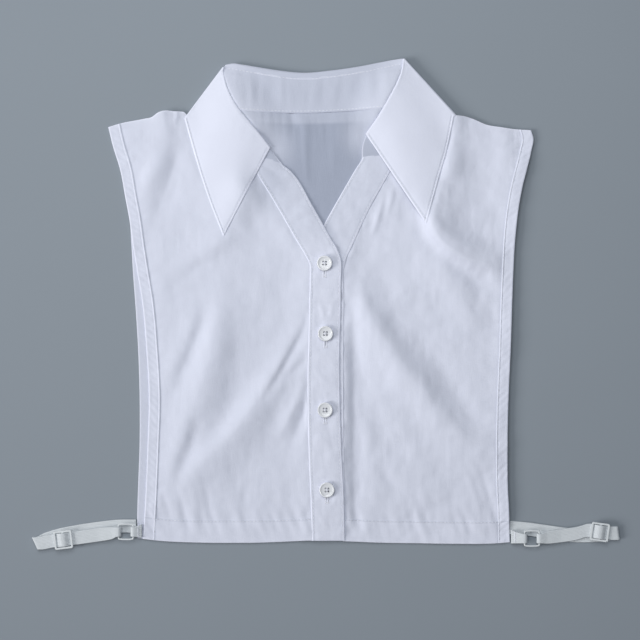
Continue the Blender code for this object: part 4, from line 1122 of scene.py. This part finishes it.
def make_buttonholes(band, thread, slit):
    """Close zigzag stitches down both sides of each slit, with a bar across its lower end."""
    tree = surface_of(band)
    rows, bars, cuts = [], [], []
    for x, y in BUTTONS:
        for aside in (-0.85, 0.85):
            rows.append(on_surface(tree, [(x + aside, y + t) for t in np.linspace(1, -9.6, 12)], 0.05))
        bars.append(on_surface(tree, [(x + t, y - 10.1) for t in np.linspace(-1.5, 1.5, 4)], 0.08))
        cuts.append(on_surface(tree, [(x, y + t) for t in np.linspace(0, -9.4, 6)], -0.02))
    sew("buttonhole_sides", rows, thread, pitch=0.42, size=(1.15, 0.44, 0.34), lean=math.pi / 2)
    sew("buttonhole_bars", bars, thread, pitch=0.42, size=(1.5, 0.46, 0.44), lean=math.pi / 2)
    sew("buttonhole_slits", cuts, slit, pitch=9.4, size=(9.6, 0.5, 0.16))


# Straps

def half_turn(x, y, z, radius, way, angle, width, steps=14):
    """Stations of a half turn from below to above, bulging along x by way."""
    return [
        (x + way * radius * math.sin(a), y, z - radius * math.cos(a), angle, width)
        for a in np.linspace(0, math.pi, steps + 1)
    ]


LEFT_RUN = {
    "far": [
        (-142.2, -169.5, UNDER, 2, STRAP), (-155, -169.6, UNDER, 4, STRAP), (-170, -171.2, UNDER, 6, STRAP),
        (-185, -173.4, UNDER, 8, STRAP), (-200, -176.4, UNDER, 13, STRAP), (-209, -179.2, UNDER, 19, STRAP),
    ],
    "end": half_turn(-216.4, -182.2, UNDER + TURN, TURN, -1, 25, STRAP),
    "over": [
        (-181, -177.2, OVER, 6, STRAP), (-170, -175.6, OVER, 6, STRAP), (-160, -174.2, OVER + 1, 4, NARROWED),
    ],
    "under": [
        (-160, -174.2, MIDDLE, 4, NARROWED), (-170, -175.6, MIDDLE, 6, STRAP),
        (-181, -177.2, MIDDLE, 6, STRAP),
    ],
}
RIGHT_RUN = {
    "far": [
        (137.6, -170.6, UNDER, -3, STRAP), (150, -171.6, UNDER, -6, STRAP), (163, -173.4, UNDER, -8, STRAP),
        (176, -175.2, UNDER, -6, STRAP), (188, -176.6, UNDER, -2, STRAP), (202, -176.4, UNDER, 3, STRAP),
    ],
    "end": half_turn(217.6, -174.6, UNDER + TURN, TURN, 1, 8, STRAP),
    "over": [
        (188, -174.6, OVER, -8, STRAP), (176, -176.4, OVER, -7, STRAP), (165, -177.7, OVER + 1, -4, NARROWED),
    ],
    "under": [
        (165, -177.7, MIDDLE, -4, NARROWED), (176, -176.4, MIDDLE, -7, STRAP),
        (188, -174.6, MIDDLE, -8, STRAP),
    ],
}


def elastic_grid(stations, step=0.9):
    """Grid of a strap. A station is x, y, z, the angle of its width and its width."""
    stations = np.array(stations, float)
    marks = walked(stations[:, :3])
    keys = [0.0]
    for mark in marks[1:]:
        keys.extend(np.linspace(keys[-1], mark, max(1, math.ceil((mark - keys[-1]) / step)) + 1)[1:])
    keys = np.array(keys)
    x, y, angle, width = (smooth(list(zip(marks, stations[:, k])), keys) for k in (0, 1, 3, 4))
    z = np.interp(keys, marks, stations[:, 2])
    padded = np.pad(z, 3, mode="edge")
    z = 0.5 * z + 0.5 * np.convolve(padded, np.ones(7) / 7, mode="valid")
    angle = np.radians(angle)
    across = np.linspace(-0.5, 0.5, 19)
    side = np.stack([-np.sin(angle), np.cos(angle), angle * 0], axis=1) * width[:, None]
    centre = np.stack([x, y, z], axis=1)
    places = centre[:, None, :] + side[:, None, :] * across[None, :, None]
    return places


def elastic_piece(name, places, elastic):
    return cloth(name, places, elastic, wall=ELASTIC_WALL, below=False)


def make_strap(side, run, ring, slider, tab, elastic, plastic, thread):
    """Elastic strap with its slider and ring, and the loop that holds the ring at the front."""
    out = -1 if side == "left" else 1
    ring_x, ring_y = ring
    slider_x, slider_y, tilt = slider
    bar = (RING_INNER + WIRE) / 2
    turn = half_turn(ring_x + out * bar, ring_y, RING_HEIGHT, BAR_TURN, -out, 0, AT_RING)
    cos, sin = math.cos(math.radians(tilt)), math.sin(math.radians(tilt))

    def at_slider(offset, z):
        offset *= out
        return (slider_x + offset * cos, slider_y + offset * sin, z, tilt, STRAP)

    over_bar = [(7.6, OVER), (5.2, OVER), (1.4, SLIDER_OVER), (-1.4, SLIDER_OVER), (-5.2, OVER), (-7.6, OVER)]
    through = [at_slider(offset, z) for offset, z in over_bar]
    stop = [at_slider(-7.6, MIDDLE), at_slider(-3, MIDDLE)]
    stations = run["far"] + run["end"] + through + run["over"] + turn[::-1] + run["under"] + stop
    strap = elastic_piece(f"elastic_{side}", elastic_grid(stations), elastic)
    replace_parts(strap, f"strap_{side}")

    tab_turn = half_turn(ring_x - out * bar, ring_y, RING_HEIGHT, BAR_TURN, out, 0, AT_RING)
    root_x, root_y = tab
    lower = [(root_x, root_y, MIDDLE, 0, STRAP)]
    upper = [(root_x, root_y, OVER, 0, STRAP)]
    loop = elastic_piece(f"loop_{side}", elastic_grid(lower + tab_turn + upper, 0.7), elastic)
    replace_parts(loop, f"tab_{side}")
    tack_line = [(root_x + out * 2.6, root_y + t) for t in np.linspace(-4, 4, 7)]
    rows = [on_surface(surface_of(loop), tack_line, 0.05)]
    tacks = sew(f"loop_{side}_tack", rows, thread, pitch=0.8, size=(1.8, 0.45, 0.4), lean=0.9)

    make_ring(f"wire_ring_{side}", f"ring_{side}", ring_x, ring_y, plastic)
    make_slider(f"strap_slider_{side}", f"slider_{side}", slider_x, slider_y, tilt, plastic)


def make_ring(name, node, x, y, plastic):
    """Round-wire ring, a little squared by the elastic that pulls on both sides."""
    middle, squared, steps = (RING_INNER + WIRE) / 2, 0.5, 96
    angles = np.linspace(0, 2 * np.pi, steps + 1)[:-1]
    around = np.stack([np.cos(angles), np.sin(angles)], axis=1)
    places = np.sign(around) * np.abs(around) ** squared * middle
    places = places * 0.5 + 0.5 * places / np.maximum(np.abs(places).max(axis=1)[:, None] / middle, 0.84)
    bm = bmesh.new()
    loops = []
    for k, centre in enumerate(places):
        way = places[(k + 1) % steps] - places[(k - 1) % steps]
        turned = Vector((*way, 0)).to_track_quat("Z", "Y").to_matrix().to_4x4()
        circle = bmesh.ops.create_circle(
            bm, cap_ends=False, segments=12, radius=WIRE / 2,
            matrix=Matrix.Translation((*centre, 0)) @ turned,
        )["verts"]
        loops.append(list({e for v in circle for e in v.link_edges}))
    for k in range(steps):
        bmesh.ops.bridge_loops(bm, edges=loops[k] + loops[(k + 1) % steps])
    bmesh.ops.recalc_face_normals(bm, faces=bm.faces)
    bm.transform(Matrix.Translation(Vector(metres((x, y, RING_HEIGHT)))) @ Matrix.Scale(MM, 4))
    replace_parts(piece(name, mesh_of(bm, name), plastic), node)


def make_slider(name, node, x, y, tilt, plastic):
    """Plate with two windows, a bar between them and rounded corners."""
    wide, tall = SLIDER_SIZE
    bar = SLIDER_BAR
    xs = [-wide / 2, -wide / 2 + bar, -bar / 2, bar / 2, wide / 2 - bar, wide / 2]
    ys = [-tall / 2, -tall / 2 + bar, tall / 2 - bar, tall / 2]
    bm = bmesh.new()
    bmesh.ops.create_grid(bm, x_segments=5, y_segments=3, size=0.5)
    for vert in bm.verts:
        column, row = round((vert.co.x + 0.5) * 5), round((vert.co.y + 0.5) * 3)
        vert.co = (xs[column], ys[row], -SLIDER_THICK / 2)
    windows = [
        f for f in bm.faces
        if abs(f.calc_center_median().y) < bar and bar / 2 < abs(f.calc_center_median().x) < wide / 2 - bar
    ]
    bmesh.ops.delete(bm, geom=windows, context="FACES")
    raised = bmesh.ops.extrude_face_region(bm, geom=bm.faces[:])
    bmesh.ops.translate(
        bm, vec=(0, 0, SLIDER_THICK), verts=[v for v in raised["geom"] if isinstance(v, bmesh.types.BMVert)]
    )
    bmesh.ops.recalc_face_normals(bm, faces=bm.faces)
    corners = [
        e for e in bm.edges
        if abs(e.verts[0].co.z - e.verts[1].co.z) > 0.1
        and abs(abs(e.verts[0].co.x) - wide / 2) < 0.01
        and abs(abs(e.verts[0].co.y) - tall / 2) < 0.01
    ]
    bmesh.ops.bevel(bm, geom=corners, offset=2.2, segments=6, profile=0.5, affect="EDGES", material=-1)
    inner = [
        e for e in bm.edges
        if abs(e.verts[0].co.z - e.verts[1].co.z) > 0.1 and abs(abs(e.verts[0].co.y) - tall / 2 + bar) < 0.01
    ]
    bmesh.ops.bevel(bm, geom=inner, offset=0.5, segments=3, profile=0.5, affect="EDGES", material=-1)
    place = Matrix.Translation(Vector(metres((x, y, SLIDER_HEIGHT))))
    bm.transform(place @ Matrix.Rotation(math.radians(tilt), 4, "Z") @ Matrix.Scale(MM, 4))
    made = piece(name, mesh_of(bm, name), plastic)
    rounded = made.modifiers.new("rounded", "BEVEL")
    rounded.width = 0.3 * MM
    rounded.segments = 3
    rounded.limit_method = "ANGLE"
    rounded.angle_limit = math.radians(50)
    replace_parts(made, node)


# Materials

class Finish:
    """A Principled material and short ways to add nodes to it."""

    def __init__(self, name, colour, roughness, **sockets):
        self.material = bpy.data.materials.new(name)
        self.material.use_nodes = True
        self.nodes = self.material.node_tree.nodes
        self.links = self.material.node_tree.links
        self.shader = self.nodes["Principled BSDF"]
        self.shader.inputs["Base Color"].default_value = (*colour, 1)
        self.shader.inputs["Roughness"].default_value = roughness
        for socket, value in sockets.items():
            self.shader.inputs[socket.replace("_", " ")].default_value = value

    def add(self, kind, settings=(), **inputs):
        node = self.nodes.new(kind)
        for key, value in dict(settings).items():
            setattr(node, key, value)
        for socket, value in inputs.items():
            numbered = socket[0] == "n" and socket[1:].isdigit()
            socket = int(socket[1:]) if numbered else socket.replace("_", " ")
            if hasattr(value, "is_output"):
                self.links.new(value, node.inputs[socket])
            else:
                node.inputs[socket].default_value = value
        return node.outputs

    def coordinates(self, output, scale=(1, 1, 1), turn=0.0):
        place = self.add("ShaderNodeTexCoord")[output]
        return self.add("ShaderNodeMapping", Vector=place, Scale=scale, Rotation=(0, 0, turn))["Vector"]

    def noise(self, at, scale, detail=3.0, roughness=0.55):
        settings = {"Scale": scale, "Detail": detail, "Roughness": roughness}
        return self.add("ShaderNodeTexNoise", Vector=at, **settings)["Fac"]

    def waves(self, at, scale, direction, distortion=0.0):
        settings = {"wave_type": "BANDS", "bands_direction": direction}
        return self.add("ShaderNodeTexWave", settings, Vector=at, Scale=scale, Distortion=distortion)["Fac"]

    def maths(self, operation, a, b):
        return self.add("ShaderNodeMath", {"operation": operation}, n0=a, n1=b)["Value"]

    def between(self, value, low, high):
        """value from 0 to 1 carried to the range from low to high."""
        return self.add("ShaderNodeMapRange", Value=value, To_Min=low, To_Max=high)["Result"]

    def tinted(self, colour, factor):
        """The colour, multiplied by a factor."""
        scaled = self.add("ShaderNodeVectorMath", {"operation": "SCALE"}, n0=colour, Scale=factor)["Vector"]
        self.links.new(scaled, self.shader.inputs["Base Color"])

    def raised(self, height, distance, strength=1.0):
        bump = self.add("ShaderNodeBump", Height=height, Distance=distance, Strength=strength)
        self.links.new(bump["Normal"], self.shader.inputs["Normal"])


def cotton_finish():
    """Plain-woven cotton: fine yarns both ways, with thicker yarns here and there."""
    finish = Finish("white_cotton", COTTON, 0.88, Sheen_Weight=0.12, Sheen_Roughness=0.5)
    weave = finish.coordinates("UV")
    yarn = 9.0
    warp = finish.waves(weave, yarn, "X")
    weft = finish.waves(weave, yarn, "Y")
    thick_down = finish.noise(finish.coordinates("UV", (26, 1.6, 1)), 1.0, 2.0)
    thick_across = finish.noise(finish.coordinates("UV", (1.6, 26, 1)), 1.0, 2.0)
    lengthwise = finish.maths("MULTIPLY", warp, thick_down)
    crosswise = finish.maths("MULTIPLY", weft, thick_across)
    yarns = finish.maths("ADD", lengthwise, crosswise)
    slubs = finish.maths("ADD", thick_down, thick_across)
    height = finish.maths("ADD", finish.maths("MULTIPLY", yarns, 0.5), slubs)
    finish.raised(height, 0.00012, 0.6)
    # The colour goes towards the darker, bluer cotton with the sheerness, which also carries painted shade.
    sheer_and_shade = finish.add("ShaderNodeAttribute", {"attribute_name": "sheer_and_shade"})["Fac"]
    dense, sheer_shaded = (*COTTON, 1), (*COTTON_SHEER_SHADED, 1)
    settings = {"data_type": "RGBA"}
    colour = finish.add("ShaderNodeMix", settings, Factor=sheer_and_shade, n6=dense, n7=sheer_shaded)[2]
    cloudy = finish.noise(finish.coordinates("Object", (1, 1, 1)), 45.0, 3.0)
    finish.tinted(colour, finish.between(cloudy, 0.975, 1.02))
    return finish.material


def elastic_finish():
    """Ribbed elastic tape: cords along it and fine threads across."""
    finish = Finish("white_elastic", ELASTIC, 0.8, Sheen_Weight=0.1)
    tape = finish.coordinates("UV")
    cords = finish.waves(tape, 2.9, "X")
    threads = finish.waves(tape, 5.5, "Y", 0.6)
    height = finish.maths("ADD", cords, finish.maths("MULTIPLY", threads, 0.45))
    finish.raised(height, 0.0002, 0.7)
    worn = finish.noise(finish.coordinates("Object"), 300.0, 2.0)
    # Darker in the grooves between the cords, as painted shade, and patchy in tone at random.
    shaded_ribs_and_tone = finish.maths("MULTIPLY", finish.between(cords, 0.93, 1.03), finish.between(worn, 0.96, 1.03))
    finish.tinted(ELASTIC, shaded_ribs_and_tone)
    return finish.material


def plastic_finish():
    finish = Finish("white_plastic", PLASTIC, 0.32, Coat_Weight=0.15)
    spots = finish.noise(finish.coordinates("Object"), 500.0, 3.0)
    finish.raised(spots, 0.00002, 0.5)
    finish.tinted(PLASTIC, finish.between(spots, 0.97, 1.02))
    return finish.material


def pearl_finish():
    """Pearl-look plastic: soft swirls under a clear coat."""
    finish = Finish("button_pearl", PEARL, 0.25, Coat_Weight=0.6, Coat_Roughness=0.08)
    swirl = finish.add(
        "ShaderNodeTexNoise", Vector=finish.coordinates("Object", (1, 2.2, 1), 0.6), Scale=260.0, Detail=4.0,
        Distortion=1.6,
    )["Fac"]
    finish.tinted(PEARL, finish.between(swirl, 0.9, 1.07))
    return finish.material


def thread_finish():
    finish = Finish("white_thread", THREAD, 0.6, Sheen_Weight=0.2)
    twist = finish.noise(finish.coordinates("Object"), 900.0, 2.0)
    finish.tinted(THREAD, finish.between(twist, 0.94, 1.03))
    return finish.material


def slit_finish():
    finish = Finish("buttonhole_shadow", SLIT, 0.95)
    lint = finish.noise(finish.coordinates("Object"), 900.0, 2.0)
    finish.tinted(SLIT, finish.between(lint, 0.85, 1.1))
    return finish.material


def table_finish():
    finish = Finish("table_paint", TABLE, 0.75)
    grain = finish.noise(finish.coordinates("Object"), 9.0, 4.0)
    finish.tinted(TABLE, finish.between(grain, 0.985, 1.015))
    return finish.material


# Studio

def make_table():
    bm = bmesh.new()
    bmesh.ops.create_grid(bm, x_segments=1, y_segments=1, size=3)
    mesh = mesh_of(bm, "table")
    mesh.materials.append(table_finish())
    table = bpy.data.objects.new("table", mesh)
    table.location.z = -0.0002
    bpy.context.scene.collection.objects.link(table)


def make_lamp(name, place, size, power, colour):
    """Square lamp that faces the middle of the garment."""
    data = bpy.data.lights.new(name, "AREA")
    data.size = size
    data.energy = power
    data.color = colour
    lamp = bpy.data.objects.new(name, data)
    lamp.location = place
    lamp.rotation_euler = (-Vector(place)).to_track_quat("-Z", "Y").to_euler()
    bpy.context.scene.collection.objects.link(lamp)


def make_studio():
    make_table()
    for lamp in LAMPS:
        make_lamp(**lamp)
    world = bpy.data.worlds.new("room")
    bpy.context.scene.world = world
    world.use_nodes = True
    background = world.node_tree.nodes["Background"]
    background.inputs["Color"].default_value = (*ROOM, 1)
    background.inputs["Strength"].default_value = ROOM_STRENGTH
    bpy.context.scene.view_settings.view_transform = "Standard"


def make_camera():
    """Looks straight down, so that one picture width spans the view across."""
    view_across, lens, sensor = 0.480, 85, 36
    data = bpy.data.cameras.new("camera")
    data.lens, data.sensor_width = lens, sensor
    camera = bpy.data.objects.new("camera", data)
    camera.location = Vector(metres((-4.5, -15, 0))) + Vector((0, 0, view_across * lens / sensor))
    bpy.context.scene.collection.objects.link(camera)
    bpy.context.scene.camera = camera


cotton = cotton_finish()
thread = thread_finish()
elastic = elastic_finish()
plastic = plastic_finish()
pearl = pearl_finish()

make_studio()
make_camera()
make_back(cotton)
for left in (True, False):
    make_front(left, cotton, thread)
make_placket(False, cotton, thread)
button_band = make_placket(True, cotton, thread)
make_collar(cotton, thread)
for number, (x, y) in enumerate(BUTTONS, start=1):
    make_button(number, x, y, pearl, thread)
make_buttonholes(button_band, thread, slit_finish())
make_strap("left", LEFT_RUN, LEFT_RING, LEFT_SLIDER, LEFT_TAB, elastic, plastic, thread)
make_strap("right", RIGHT_RUN, RIGHT_RING, RIGHT_SLIDER, RIGHT_TAB, elastic, plastic, thread)
